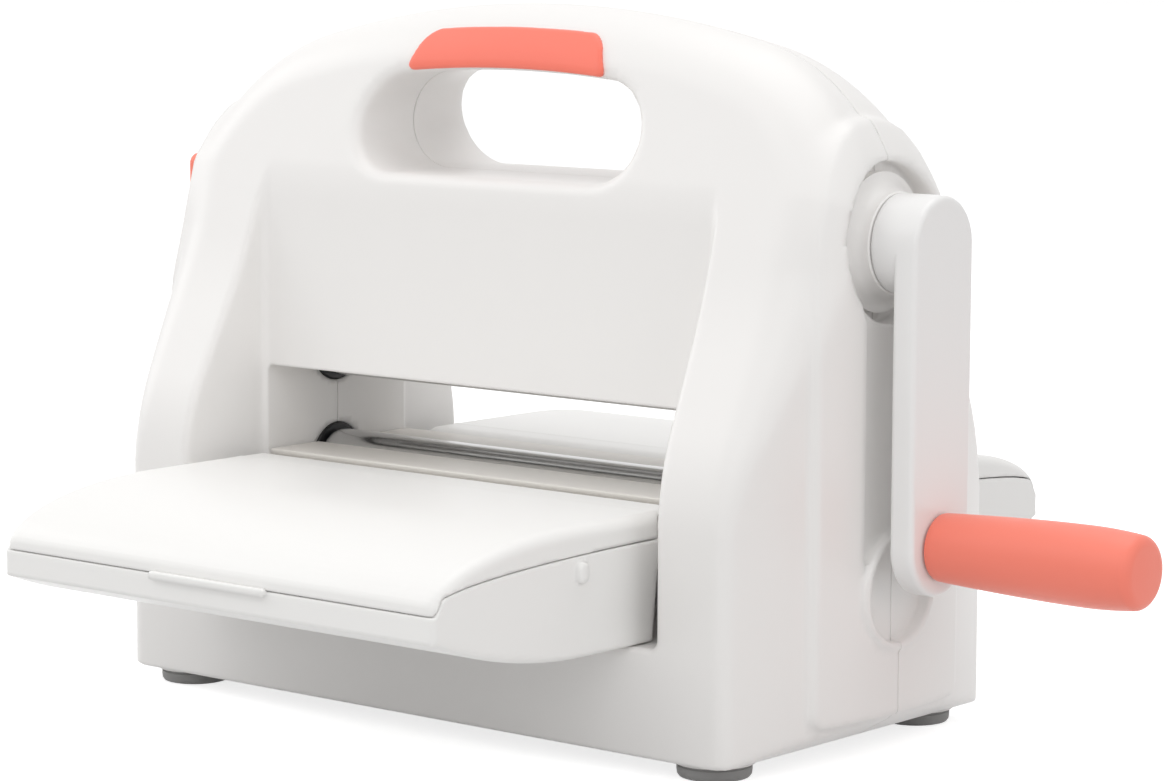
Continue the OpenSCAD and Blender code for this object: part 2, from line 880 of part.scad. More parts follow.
module knob_sleeve() {
  color(dark) difference() {
    bar_x(sleeve_r, arm_out + knob_gap, spindle_end + sleeve_cap, 0, knob_z);
    bar_x(spindle_r + run_fit, arm_out, spindle_end + knob_gap, 0, knob_z);
  }
}

// Coral handle: slightly thicker at its outer end, with a rounded tip
module crank_knob() {
  x0 = arm_out + knob_gap;
  rim = knob_r - knob_tip_r;
  color(coral) translate([x0, 0, knob_z]) rotate([0, 90, 0])
    rotate_extrude($fn = 96)
      polygon(concat(
        [[sleeve_r + seat_fit, 0], [neck_r - neck_bevel, 0], [neck_r, neck_bevel]],
        [for (a = [0:15:90])
          [rim + knob_tip_r*cos(a), knob_len - knob_tip + knob_tip*sin(a)]],
        [
          [0, knob_len],
          [0, spindle_end + sleeve_cap - x0],
          [sleeve_r + seat_fit, spindle_end + sleeve_cap - x0]
        ]
      ));
}

module left_knob() {
  color(coral) difference() {
    intersection() {
      translate([-left_knob_x, 0, crank_z]) rotate([0, -90, 0])
        rotate_extrude($fn = 96)
          polygon([
            [0, 0],
            [left_knob_r, 0],
            [left_knob_r, left_knob_t - left_bevel],
            [left_knob_r - left_bevel, left_knob_t],
            [0, left_knob_t]
          ]);
      along_x(-left_knob_x - left_knob_t - past, past - left_knob_x)
        translate([-left_knob_half, crank_z - left_knob_half]) square(2*left_knob_half);
    }
    bar_x(crank_shaft_r + seat_fit, -left_knob_x - left_knob_t + 2, 0, 0, crank_z);
    bar_x(screw_r + seat_fit, -left_knob_x - left_knob_t - past, 0, 0, crank_z);
  }
}

module left_knob_screw() {
  color(dark) bar_x(screw_r, -left_knob_x - left_knob_t, -left_knob_x - left_knob_t + 2, 0, crank_z);
}

// Points of a circular arc from p that drops by d over a run w, level at p
function arc_drop(p, w, d, n) =
  let (r = (w*w + d*d)/(2*d), full = asin(w/r))
  [for (i = [1:n]) [p[0] - r*sin(full*i/n), p[1] - r*(1 - cos(full*i/n))]];

// Seam between a tray's cover and its base, from the back to the nose
function seam(t) = concat(
  [[-tray_back, seam_z - t]],
  arc_drop([-tray_back, seam_z - t], nose_y - 3 - tray_back, seam_fall, 8),
  [[-nose_y, nose_seam - t]]
);

function tray_crown(t) = [
  for (a = [0:11.25:90])
    [-crown_y - (tray_reach - t - crown_y)*sin(a), tray_top - t - (crown_fall - t)*(1 - cos(a))]
];

function tray_belly(t) =
  concat(
    [[-belly_y, tray_under + t]],
    [for (p = arc_drop([-belly_y, 0], tray_reach - belly_y, nose_low - tray_under, 8))
      [p[0], tray_under + t - p[1]]]
  );

module tray_cover() {
  difference() {
    along_x(-tray_half, tray_half)
      polygon(concat(
        [for (a = [0:15:90]) [-hinge_y, hinge_z] + lip_r*[cos(a), sin(a)]],
        tray_crown(0),
        [[-tray_reach, nose_seam]],
        [for (i = [len(seam(0)) - 1:-1:0]) seam(0)[i]],
        [for (a = [90:-15:0]) [-hinge_y, hinge_z] + (lip_r - tray_wall)*[cos(a), sin(a)]]
      ));
    along_x(-tray_half + tray_wall, tray_half - tray_wall)
      polygon(concat(
        [[-tray_back - 1, tray_top - tray_wall]],
        tray_crown(tray_wall),
        [[-tray_reach + tray_wall, nose_seam - 1]],
        [for (i = [len(seam(0)) - 2:-1:0]) [seam(0)[i][0], seam(0)[i][1] - 1]]
      ));
    bar_x(ear_r + free_gap, -tray_half - past, tray_half + past, -hinge_y, hinge_z);
  }
}

module tray_form(t) {
  along_x(-tray_half + t, tray_half - t)
    polygon(concat(
      [[-tray_back - t, seam_z + (t > 0 ? 1 : 0)], [-tray_back - t - back_slant, tray_under + t]],
      tray_belly(t),
      [[-tray_reach + t, nose_low + t], [-tray_reach + t, nose_seam]],
      [for (i = [len(seam(0)) - 1:-1:1])
        [max(seam(0)[i][0], -tray_reach + t), seam(0)[i][1] + (t > 0 ? 1 : 0)]]
    ));
}

module tray_base() {
  difference() {
    union() {
      difference() {
        tray_form(0);
        tray_form(tray_wall);
      }
      for (s = [0, 1])
        mirror([s, 0, 0]) {
          along_x(ear_x, ear_x + ear_w) {
            translate([-hinge_y, hinge_z]) circle(r = ear_r, $fn = 96);
            translate([-tray_back - back_slant, hinge_z - ear_r])
              square([tray_back - hinge_y + back_slant, ear_r + seam_z - hinge_z]);
          }
          bar_x(nub_r, tray_half - tray_wall, tray_half + nub_out, -nub_y, nub_z);
        }
      for (x = [-1, 1], y = tray_post_y)
        intersection() {
          translate([x*tray_post_x, -y, tray_under]) cylinder(r = tray_post_r, h = tray_top, $fn = 48);
          tray_form(0);
        }
    }
    for (s = [0, 1])
      mirror([s, 0, 0])
        bar_x(hinge_pin_r + run_fit, ear_x - past, tray_half + past, -hinge_y, hinge_z);
    translate([-pull_half, -tray_reach - past, nose_low + pull_rise])
      cube([2*pull_half, tray_wall + past, pull_h]);
    for (x = [-1, 1], y = tray_post_y) {
      translate([x*tray_post_x, -y, 0]) cylinder(r = screw_r + seat_fit, h = tray_top, $fn = 48);
      translate([x*tray_post_x, -y, 0]) cylinder(r = screw_head_r + free_gap, h = post_seat, $fn = 48);
    }
  }
}

module tray_screws() {
  for (x = [-1, 1], y = tray_post_y)
    translate([x*tray_post_x, -y, post_seat]) {
      cylinder(r = screw_r, h = tray_top - tray_wall - 3 - post_seat, $fn = 48);
      translate([0, 0, -screw_head_t]) cylinder(r = screw_head_r, h = screw_head_t, $fn = 48);
    }
}

module front_tray_cover() { color(white) tray_cover(); }
module front_tray_base() { color(white) tray_base(); }
module front_tray_screws() { color(dark) tray_screws(); }
module rear_tray_cover() { color(white) mirror([0, 1, 0]) tray_cover(); }
module rear_tray_base() { color(white) mirror([0, 1, 0]) tray_base(); }
module rear_tray_screws() { color(dark) mirror([0, 1, 0]) tray_screws(); }

front_shell();
rear_shell();
base_pan();
feet();
grip_pad();
front_deck();
rear_deck();
left_side_plate();
right_side_plate();
tie_rods();
frame_screws();
shell_screws();
lower_left_bushing();
lower_right_bushing();
upper_left_bushing();
upper_right_bushing();
crank_left_bushing();
crank_right_bushing();
crank_collar();
front_hinge_pins();
rear_hinge_pins();
upper_roller();
drive_gear();
upper_timing_gear();
upper_shaft_clips();
lower_roller();
lower_timing_gear();
lower_shaft_clips();
crank_shaft();
drive_pinion();
crank_shaft_clips();
crank_arm();
arm_core();
arm_screw();
knob_spindle();
left_knob();
left_knob_screw();
crank_knob();
knob_sleeve();
front_tray_cover();
front_tray_base();
front_tray_screws();
rear_tray_cover();
rear_tray_base();
rear_tray_screws();
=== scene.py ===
"""Looks of a hand-cranked die cutting machine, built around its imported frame."""

import json
import logging
import math
from dataclasses import dataclass, field
from enum import Enum
from typing import Callable, Optional, Sequence

import bmesh
import bpy
import numpy as np
from mathutils import Matrix, Vector

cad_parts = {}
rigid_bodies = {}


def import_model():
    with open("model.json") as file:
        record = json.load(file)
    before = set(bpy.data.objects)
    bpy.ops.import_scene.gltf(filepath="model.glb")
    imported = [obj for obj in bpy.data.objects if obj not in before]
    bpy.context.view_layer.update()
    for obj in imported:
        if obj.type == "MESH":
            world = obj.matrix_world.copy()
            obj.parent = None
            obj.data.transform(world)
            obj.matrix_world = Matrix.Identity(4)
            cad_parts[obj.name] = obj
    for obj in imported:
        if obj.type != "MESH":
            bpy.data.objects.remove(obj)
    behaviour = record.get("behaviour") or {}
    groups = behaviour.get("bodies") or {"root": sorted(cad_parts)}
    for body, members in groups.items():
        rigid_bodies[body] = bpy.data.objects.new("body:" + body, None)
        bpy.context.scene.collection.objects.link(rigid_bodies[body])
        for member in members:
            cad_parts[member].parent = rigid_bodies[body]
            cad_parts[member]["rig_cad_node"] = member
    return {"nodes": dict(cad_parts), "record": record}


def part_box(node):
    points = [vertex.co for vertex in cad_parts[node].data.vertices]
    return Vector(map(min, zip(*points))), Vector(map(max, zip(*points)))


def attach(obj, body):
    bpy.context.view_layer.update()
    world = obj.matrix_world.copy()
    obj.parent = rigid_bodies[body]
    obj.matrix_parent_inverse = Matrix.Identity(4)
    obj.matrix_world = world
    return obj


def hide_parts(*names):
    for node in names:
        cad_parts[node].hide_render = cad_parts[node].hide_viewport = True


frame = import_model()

Array = np.ndarray
Field = Callable[[Array, Array, Array], Array]
Outline = Sequence[tuple[float, float]]
Colour = tuple[float, float, float, float]
Node = bpy.types.NodeSocket
MM = 0.001
QUARTER = math.pi / 2

LOG = logging.getLogger("die_cutter")


class Rider(str, Enum):
    """Moving and fixed bodies of the machine."""

    HOUSING = "housing"
    UPPER = "upper_roller_set"
    LOWER = "lower_roller_set"
    CRANK = "crank"
    KNOB = "knob"
    FRONT_TRAY = "front_tray"
    REAR_TRAY = "rear_tray"


class Slot(str, Enum):
    """Material slots of the record."""

    SHELL = "white_shell"
    DECK = "white_deck"
    ARM = "white_arm"
    TRAY = "white_tray"
    RUBBER = "grey_rubber"
    GRIP = "coral_soft"
    KNOB = "coral_plastic"
    BUSHING = "black_plastic"
    ROLLER = "roller_steel"
    SCREW = "screw_steel"
    FRAME = "frame_steel"


class Side(int, Enum):
    """Which way a half of the machine faces along Y."""

    FRONT = -1
    REAR = 1


# ---------------------------------------------------------------- distance fields


def round_max(a: Array, b: Array, r: float | Array) -> Array:
    """Common part of two forms, with their shared edge rounded.

    Args:
        a: Signed distance to the first form, negative inside.
        b: Signed distance to the second form.
        r: Radius of the round, in millimetres.

    Returns:
        Signed distance to the common part.
    """
    return np.minimum(np.maximum(a, b), -r) + np.hypot(np.maximum(a + r, 0), np.maximum(b + r, 0))


def round_min(a: Array, b: Array, r: float | Array) -> Array:
    """Two forms joined, with a fillet of radius r in the corner between them.

    Args:
        a: Signed distance to the first form.
        b: Signed distance to the second form.
        r: Radius of the fillet.

    Returns:
        Signed distance to the joined form.
    """
    return -round_max(-a, -b, r)


def cut(a: Array, b: Array, r: float) -> Array:
    """Form a with form b taken out of it, the rim rounded by r.

    Args:
        a: Signed distance to the form that is cut.
        b: Signed distance to the cutter.
        r: Radius of the rim.

    Returns:
        Signed distance to what is left.
    """
    return round_max(a, -b, r)


def slab(v: Array, lo: float, hi: float) -> Array:
    """Signed distance to the layer lo <= v <= hi."""
    return np.maximum(lo - v, v - hi)


def stadium(u: Array, v: Array, half_u: float, half_v: float, r: float) -> Array:
    """Signed distance to a rounded rectangle about the origin of (u, v).

    Args:
        u: First coordinate.
        v: Second coordinate.
        half_u: Half length along u, round included.
        half_v: Half length along v, round included.
        r: Corner radius.

    Returns:
        Signed distance, negative inside.
    """
    du = np.abs(u) - (half_u - r)
    dv = np.abs(v) - (half_v - r)
    return np.minimum(np.maximum(du, dv), 0) + np.hypot(np.maximum(du, 0), np.maximum(dv, 0)) - r


def ramp(z: Array, a: float, b: float) -> Array:
    """Height gained past a soft bend that starts at a and ends at b."""
    t = np.clip(z, a, b) - a
    return t * t / (2 * (b - a)) + np.maximum(z - b, 0)


def ramp_slope(z: Array, a: float, b: float) -> Array:
    """Slope of ramp at z, from 0 before a to 1 after b."""
    return (np.clip(z, a, b) - a) / (b - a)


def polygon_field(u: Array, v: Array, corners: Outline) -> Array:
    """Signed distance to a polygon in the plane (u, v).

    Args:
        u: First coordinate of the points asked for.
        v: Second coordinate.
        corners: Corners in order, either way round.

    Returns:
        Signed distance, negative inside.
    """
    u, v = np.broadcast_arrays(u, v)
    best = np.full(u.shape, np.inf)
    inside = np.zeros(u.shape, bool)
    for (u0, v0), (u1, v1) in zip(corners, list(corners[1:]) + [corners[0]]):
        du, dv = u1 - u0, v1 - v0
        t = np.clip(((u - u0) * du + (v - v0) * dv) / (du * du + dv * dv), 0, 1)
        best = np.minimum(best, (u - u0 - t * du) ** 2 + (v - v0 - t * dv) ** 2)
        if dv:
            crosses = (v0 > v) != (v1 > v)
            inside ^= crosses & (u < u0 + (v - v0) * du / dv)
    return np.where(inside, -1, 1) * np.sqrt(best)


def ruled(lo: float, hi: float, step: float, fine: Sequence[tuple[float, float, float]] = ()) -> Array:
    """Grid lines from lo to hi, closer together in the stated stretches.

    Args:
        lo: First line.
        hi: Last line.
        step: Largest spacing.
        fine: Stretches (from, to, largest spacing there).

    Returns:
        Sorted coordinates.
    """
    slack = 1e-6
    marks = sorted({lo, hi, *(m for a, b, _ in fine for m in (a, b) if lo < m < hi)})
    lines = [np.array([lo])]
    for a, b in zip(marks, marks[1:]):
        size = min([s for f, t, s in fine if f <= a + slack and b <= t + slack] + [step])
        lines.append(np.linspace(a, b, max(1, math.ceil((b - a) / size - slack)) + 1)[1:])
    return np.concatenate(lines)


def near(edge: float, before: float, after: float, spacing: float) -> tuple[float, float, float]:
    """Band of finer lines about an edge, as ruled() takes it."""
    return (edge - before, edge + after, spacing)


class FieldMesher:
    """Turns a distance field into a closed mesh whose vertices sit on edges and corners.

    A wall thinner than the spacing of the lines can fall between two of them, so a form keeps its
    walls thicker than that.

    Attributes:
        probe: Half the step over which a normal is measured, in millimetres.
        pull: Weight that holds a vertex near the middle of its cell's crossings.
        passes: Steps that narrow down where the surface crosses an edge.
    """

    probe = 0.04
    pull = 0.06
    passes = 3

    def __init__(self, form: Field, xs: Array, ys: Array, zs: Array) -> None:
        """Keeps the field and the grid lines that it is sampled on, in millimetres."""
        self.form = form
        self.axes = (xs, ys, zs)

    def _crossings(self, values: Array, axis: int) -> tuple[Array, Array, Array, Array]:
        """Finds where the surface crosses the grid edges along one axis.

        Args:
            values: Field on the grid.
            axis: 0, 1 or 2.

        Returns:
            Grid index of each edge's start, the points, the outward normals, and whether the edge
            leaves the form.
        """
        low = np.take(values, range(values.shape[axis] - 1), axis)
        high = np.take(values, range(1, values.shape[axis]), axis)
        where = np.argwhere((low < 0) != (high < 0))
        ijk = tuple(where.T)
        f0, f1 = low[ijk].astype(float), high[ijk].astype(float)
        leaving = f0 < 0
        start = np.stack([self.axes[a][where[:, a]] for a in range(3)], 1)
        length = self.axes[axis][where[:, axis] + 1] - start[:, axis]
        t0, t1 = np.zeros(len(where)), np.ones(len(where))
        for _ in range(self.passes):
            t = t0 + (t1 - t0) * np.clip(f0 / (f0 - f1), 0.02, 0.98)
            points = start.copy()
            points[:, axis] += t * length
            f = self.form(*points.T)
            same = (f < 0) == (f0 < 0)
            t0, f0 = np.where(same, t, t0), np.where(same, f, f0)
            t1, f1 = np.where(same, t1, t), np.where(same, f1, f)
        points = start.copy()
        points[:, axis] += (t0 + (t1 - t0) * f0 / (f0 - f1)) * length
        normals = np.empty_like(points)
        for a in range(3):
            ahead, behind = points.copy(), points.copy()
            ahead[:, a] += self.probe
            behind[:, a] -= self.probe
            normals[:, a] = self.form(*ahead.T) - self.form(*behind.T)
        normals /= np.maximum(np.linalg.norm(normals, axis=1, keepdims=True), 1e-12)
        return where, points, normals, leaving

    @staticmethod
    def _sheets() -> Array:
        """Numbers the sheet of surface that crosses each edge of a cell, for each set of inside corners.

        Returns:
            Sheet number by pattern (256) and edge (axis * 4 + place).
        """
        def corner(axes: Sequence[int], spots: Sequence[int]) -> int:
            """Number of a corner, from its spot (0 or 1) along each axis."""
            return sum(spot << axis for axis, spot in zip(axes, spots))

        def edge(axis: int, one: int, two: int) -> int:
            """Number of an edge, from its axis and its spots along the next two."""
            return axis * 4 + one + 2 * two

        faces = []
        for f in range(3):
            u, v = (f + 1) % 3, (f + 2) % 3
            for s in (0, 1):
                rim = [corner((f, u, v), (s, a, b)) for a, b in ((0, 0), (1, 0), (1, 1), (0, 1))]
                sides = [edge(u, 0, s), edge(v, s, 1), edge(u, 1, s), edge(v, s, 0)]
                faces.append((rim, sides))
        table = np.zeros((256, 12), np.int64)
        for pattern in range(256):
            group = list(range(12))
            for rim, sides in faces:
                inside = [pattern >> c & 1 for c in rim]
                crossed = [n for n in range(4) if inside[n] != inside[(n + 1) % 4]]
                pairs = [crossed] if len(crossed) == 2 else []
                if len(crossed) == 4:
                    pairs = [((n - 1) % 4, n) for n in range(4) if not inside[n]]
                for one, two in pairs:
                    old, kept = group[sides[one]], group[sides[two]]
                    group = [kept if g == old else g for g in group]
            order = {g: n for n, g in enumerate(dict.fromkeys(group))}
            table[pattern] = [order[g] for g in group]
        return table

    def build(self) -> tuple[Array, Array]:
        """Makes the surface.

        Returns:
            Vertices in millimetres and the four corners of each face.
        """
        xs, ys, zs = self.axes
        shape = tuple(len(a) for a in self.axes)
        grid = self.form(xs[:, None, None], ys[None, :, None], zs[None, None, :])
        values = np.broadcast_to(grid, shape)
        cells = np.array(shape) - 1
        strides = np.array([cells[1] * cells[2], cells[2], 1])
        inside = (values < 0).astype(np.uint8)
        pattern = np.zeros(tuple(cells), np.uint8)
        for n in range(8):
            a, b, c = n & 1, n >> 1 & 1, n >> 2 & 1
            pattern |= inside[a:a + cells[0], b:b + cells[1], c:c + cells[2]] << n
        pattern, sheets = pattern.ravel(), self._sheets()
        used, spots, slopes, quads = [], [], [], []
        for axis in range(3):
            where, points, normals, leaving = self._crossings(values, axis)
            p, q = (axis + 1) % 3, (axis + 2) % 3
            ring = []
            for dp, dq in ((-1, -1), (0, -1), (0, 0), (-1, 0)):
                cell = where.copy()
                cell[:, p] += dp
                cell[:, q] += dq
                flat = cell @ strides
                ring.append(flat * 12 + sheets[pattern[flat], axis * 4 - dp - 2 * dq])
                used.append(ring[-1])
                spots.append(points)
                slopes.append(normals)
            quad = np.stack(ring, 1)
            quad[~leaving] = quad[~leaving][:, ::-1]
            quads.append(quad)
        used, spots, slopes = np.concatenate(used), np.concatenate(spots), np.concatenate(slopes)
        names, index = np.unique(used, return_inverse=True)
        count = np.bincount(index).astype(float)
        mass = np.stack([np.bincount(index, spots[:, a]) for a in range(3)], 1) / count[:, None]
        offset = ((spots - mass[index]) * slopes).sum(1)
        ata = np.empty((len(names), 3, 3))
        atb = np.empty((len(names), 3))
        for a in range(3):
            atb[:, a] = np.bincount(index, slopes[:, a] * offset)
            for b in range(3):
                ata[:, a, b] = np.bincount(index, slopes[:, a] * slopes[:, b])
        ata += np.eye(3) * (self.pull * count)[:, None, None]
        move = np.linalg.solve(ata, atb[:, :, None])[:, :, 0]
        i, rest = np.divmod(names // 12, strides[0])
        j, k = np.divmod(rest, strides[1])
        corner = np.stack([xs[i], ys[j], zs[k]], 1)
        far = np.stack([xs[i + 1], ys[j + 1], zs[k + 1]], 1)
        vertices = np.clip(mass + move, corner, far)
        return vertices, np.searchsorted(names, np.concatenate(quads))


# ---------------------------------------------------------------- mesh helpers


def new_piece(name: str, vertices: Array, faces: Sequence[Sequence[int]]) -> bpy.types.Object:
    """Makes a mesh object at the origin from points in millimetres.

    Args:
        name: Name of the piece.
        vertices: Points, one row each.
        faces: Vertex indices of each face.

    Returns:
        The linked object, smoothly shaded.
    """
    mesh = bpy.data.meshes.new(name)
    mesh.from_pydata((np.asarray(vertices) * MM).tolist(), [], [list(map(int, f)) for f in faces])
    mesh.validate()
    mesh.update()
    mesh.shade_smooth()
    piece = bpy.data.objects.new(name, mesh)
    bpy.context.scene.collection.objects.link(piece)
    return piece


def crease(piece: bpy.types.Object, degrees: float) -> None:
    """Keeps edges sharper than an angle crisp in the shading.

    Args:
        piece: Mesh object.
        degrees: Angle between faces past which an edge is crisp.
    """
    piece.data.set_sharp_from_angle(angle=math.radians(degrees))


def turned(profile: Outline, steps: int = 96) -> tuple[Array, list[list[int]]]:
    """Turns a closed profile about the X axis.

    Args:
        profile: Points (place along X, radius), counter-clockwise with X to the right and the radius up.
        steps: Faces around.

    Returns:
        Vertices and faces.
    """
    angles = np.arange(steps) * 2 * math.pi / steps
    vertices: list[tuple[float, float, float]] = []
    rings: list[list[int]] = []
    for x, r in profile:
        if r < 1e-6:
            vertices.append((x, 0.0, 0.0))
            rings.append([len(vertices) - 1] * steps)
            continue
        rings.append(list(range(len(vertices), len(vertices) + steps)))
        vertices += [(x, r * math.cos(a), r * math.sin(a)) for a in angles]
    faces = []
    for low, high in zip(rings, rings[1:] + rings[:1]):
        if low[0] == low[1] and high[0] == high[1]:
            continue
        for n in range(steps):
            m = (n + 1) % steps
            face = [low[n], high[n], high[m], low[m]]
            faces.append([v for i, v in enumerate(face) if v not in face[:i]])
    return np.array(vertices), faces


def outward(piece: bpy.types.Object) -> None:
    """Turns the faces of a closed mesh outwards.

    Args:
        piece: Mesh object.
    """
    shell = bmesh.new()
    shell.from_mesh(piece.data)
    bmesh.ops.recalc_face_normals(shell, faces=shell.faces)
    shell.to_mesh(piece.data)
    shell.free()


def turned_piece(name: str, profile: Outline, height: float, degrees: float) -> bpy.types.Object:
    """Makes a turned piece about a level axis over the middle of the machine.

    Args:
        name: Name of the piece.
        profile: Points (place along X, radius).
        height: Height of its axis, in millimetres.
        degrees: Angle between faces past which an edge is crisp.

    Returns:
        The piece, its normals outward.
    """
    vertices, faces = turned(profile)
    vertices[:, 2] += height
    piece = new_piece(name, vertices, faces)
    outward(piece)
    crease(piece, degrees)
    return piece


# ---------------------------------------------------------------- finishes


class Shader:
    """Small builder for a node material."""

    def __init__(self, name: str) -> None:
        """Starts a material with a Principled shader and its output.

        Args:
            name: Name of the material.
        """
        self.material = bpy.data.materials.new(name)
        self.material.use_nodes = True
        self.tree = self.material.node_tree
        self.tree.nodes.clear()
        self.output = self.tree.nodes.new("ShaderNodeOutputMaterial")
        self.skin = self.tree.nodes.new("ShaderNodeBsdfPrincipled")
        self.tree.links.new(self.skin.outputs[0], self.output.inputs["Surface"])
        self.place = self.tree.nodes.new("ShaderNodeTexCoord").outputs["Object"]

    def set(self, **values: object) -> None:
        """Sets constants on the Principled shader; underscores stand for spaces."""
        for key, value in values.items():
            self.skin.inputs[key.replace("_", " ")].default_value = value

    def noise(self, scale: float, detail: float = 2.0, stretch: Optional[Vector] = None) -> Node:
        """Adds a noise pattern on Object coordinates.

        Args:
            scale: Waves to the metre.
            detail: Octaves.
            stretch: Scale along each axis, for grain.

        Returns:
            The pattern's factor.
        """
        source = self.place
        if stretch is not None:
            mapping = self.tree.nodes.new("ShaderNodeMapping")
            mapping.inputs["Scale"].default_value = stretch
            self.tree.links.new(source, mapping.inputs["Vector"])
            source = mapping.outputs[0]
        node = self.tree.nodes.new("ShaderNodeTexNoise")
        node.inputs["Scale"].default_value = scale
        node.inputs["Detail"].default_value = detail
        self.tree.links.new(source, node.inputs["Vector"])
        return node.outputs["Fac"]

    def ranged(self, source: Node, low: float, high: float) -> Node:
        """Maps a factor to the range low..high.

        Args:
            source: Factor from 0 to 1.
            low: Value at 0.
            high: Value at 1.

        Returns:
            The mapped value.
        """
        node = self.tree.nodes.new("ShaderNodeMapRange")
        node.inputs["To Min"].default_value = low
        node.inputs["To Max"].default_value = high
        self.tree.links.new(source, node.inputs["Value"])
        return node.outputs[0]

    def blend(self, source: Node, first: Colour, second: Colour) -> Node:
        """Mixes two colours by a factor.

        Args:
            source: Factor.
            first: Colour at 0.
            second: Colour at 1.

        Returns:
            The colour.
        """
        node = self.tree.nodes.new("ShaderNodeMix")
        node.data_type = "RGBA"
        node.inputs[6].default_value = first
        node.inputs[7].default_value = second
        self.tree.links.new(source, node.inputs[0])
        return node.outputs[2]

    def feed(self, socket: str, source: Node) -> None:
        """Links a source to a socket of the Principled shader."""
        self.tree.links.new(source, self.skin.inputs[socket])

    def bump(self, source: Node, height: float, strength: float) -> None:
        """Adds a bump of a height in metres from a pattern.

        Args:
            source: Pattern.
            height: Depth of the relief in metres.
            strength: Share of it that shows.
        """
        node = self.tree.nodes.new("ShaderNodeBump")
        node.inputs["Distance"].default_value = height
        node.inputs["Strength"].default_value = strength
        self.tree.links.new(source, node.inputs["Height"])
        self.feed("Normal", node.outputs[0])


def linear(red: int, green: int, blue: int) -> Colour:
    """Converts a display colour in 0..255 to the linear values that a shader takes.

    Args:
        red: Red, 0 to 255.
        green: Green, 0 to 255.
        blue: Blue, 0 to 255.

    Returns:
        The colour.
    """
    values = [c / 255 for c in (red, green, blue)]
    lin = [c / 12.92 if c <= 0.04045 else ((c + 0.055) / 1.055) ** 2.4 for c in values]
    return (lin[0], lin[1], lin[2], 1.0)


def shade(colour: Colour, factor: float) -> Colour:
    """A linear colour times a factor."""
    return (colour[0] * factor, colour[1] * factor, colour[2] * factor, 1.0)


@dataclass(frozen=True)
class MouldedFinish:
    """Satin moulded plastic with a fine spark-eroded grain.

    Attributes:
        name: Name of the material.
        colour: Its lightest tone.
        rough_low: Least roughness.
        rough_high: Greatest roughness.
        grain: Waves of the grain to the metre.
        relief: Depth of the grain, in metres.
        cloud: Share of the colour that is left in its darkest patches.
    """

    name: str
    colour: Colour
    rough_low: float = 0.30
    rough_high: float = 0.38
    grain: float = 1500.0
    relief: float = 0.00002
    cloud: float = 0.985

    def make(self) -> bpy.types.Material:
        """Builds the material.

        Returns:
            The material.
        """
        shader = Shader(self.name)
        cloud = shader.noise(9.0, 3.0)
        shader.feed("Base Color", shader.blend(cloud, shade(self.colour, self.cloud), self.colour))
        shader.feed("Roughness", shader.ranged(shader.noise(60.0, 3.0), self.rough_low, self.rough_high))
        shader.bump(shader.noise(self.grain, 1.0), self.relief, 0.35)
        shader.set(IOR=1.48)
        return shader.material


@dataclass(frozen=True)
class RubberFinish:
    """Soft matt rubber with a fine tooth and a light bloom.

    Attributes:
        name: Name of the material.
        colour: Its lightest tone.
        rough: Middle roughness.
        mottle: Share of the colour that is left in its darkest patches.
        tooth: Waves of the fine tooth to the metre.
    """

    name: str
    colour: Colour
    rough: float = 0.62
    mottle: float = 0.96
    tooth: float = 2600.0

    def make(self) -> bpy.types.Material:
        """Builds the material.

        Returns:
            The material.
        """
        shader = Shader(self.name)
        mottled = shader.noise(38.0, 4.0)
        worn = shader.noise(220.0, 2.0)
        shader.feed("Base Color", shader.blend(mottled, shade(self.colour, self.mottle), self.colour))
        shader.feed("Roughness", shader.ranged(worn, self.rough - 0.06, self.rough + 0.05))
        shader.bump(shader.noise(self.tooth, 2.0), 0.00003, 0.4)
        shader.set(IOR=1.5, Sheen_Weight=0.15, Sheen_Roughness=0.45)
        return shader.material


@dataclass(frozen=True)
class SteelFinish:
    """Steel with fine tool marks that run around its axis.

    Attributes:
        name: Name of the material.
        colour: Its lightest tone.
        rough: Roughness between the marks.
        marks: Waves of the marks to the metre, along each axis.
    """

    name: str
    colour: Colour
    rough: float = 0.22
    marks: Vector = field(default_factory=lambda: Vector((900.0, 14.0, 14.0)))

    def make(self) -> bpy.types.Material:
        """Builds the material.

        Returns:
            The material.
        """
        shader = Shader(self.name)
        marks = shader.noise(1.0, 4.0, self.marks)
        shader.feed("Base Color", shader.blend(marks, shade(self.colour, 0.9), self.colour))
        shader.feed("Roughness", shader.ranged(marks, self.rough - 0.06, self.rough + 0.10))
        shader.bump(marks, 0.00001, 0.25)
        shader.set(Metallic=1.0)
        return shader.material


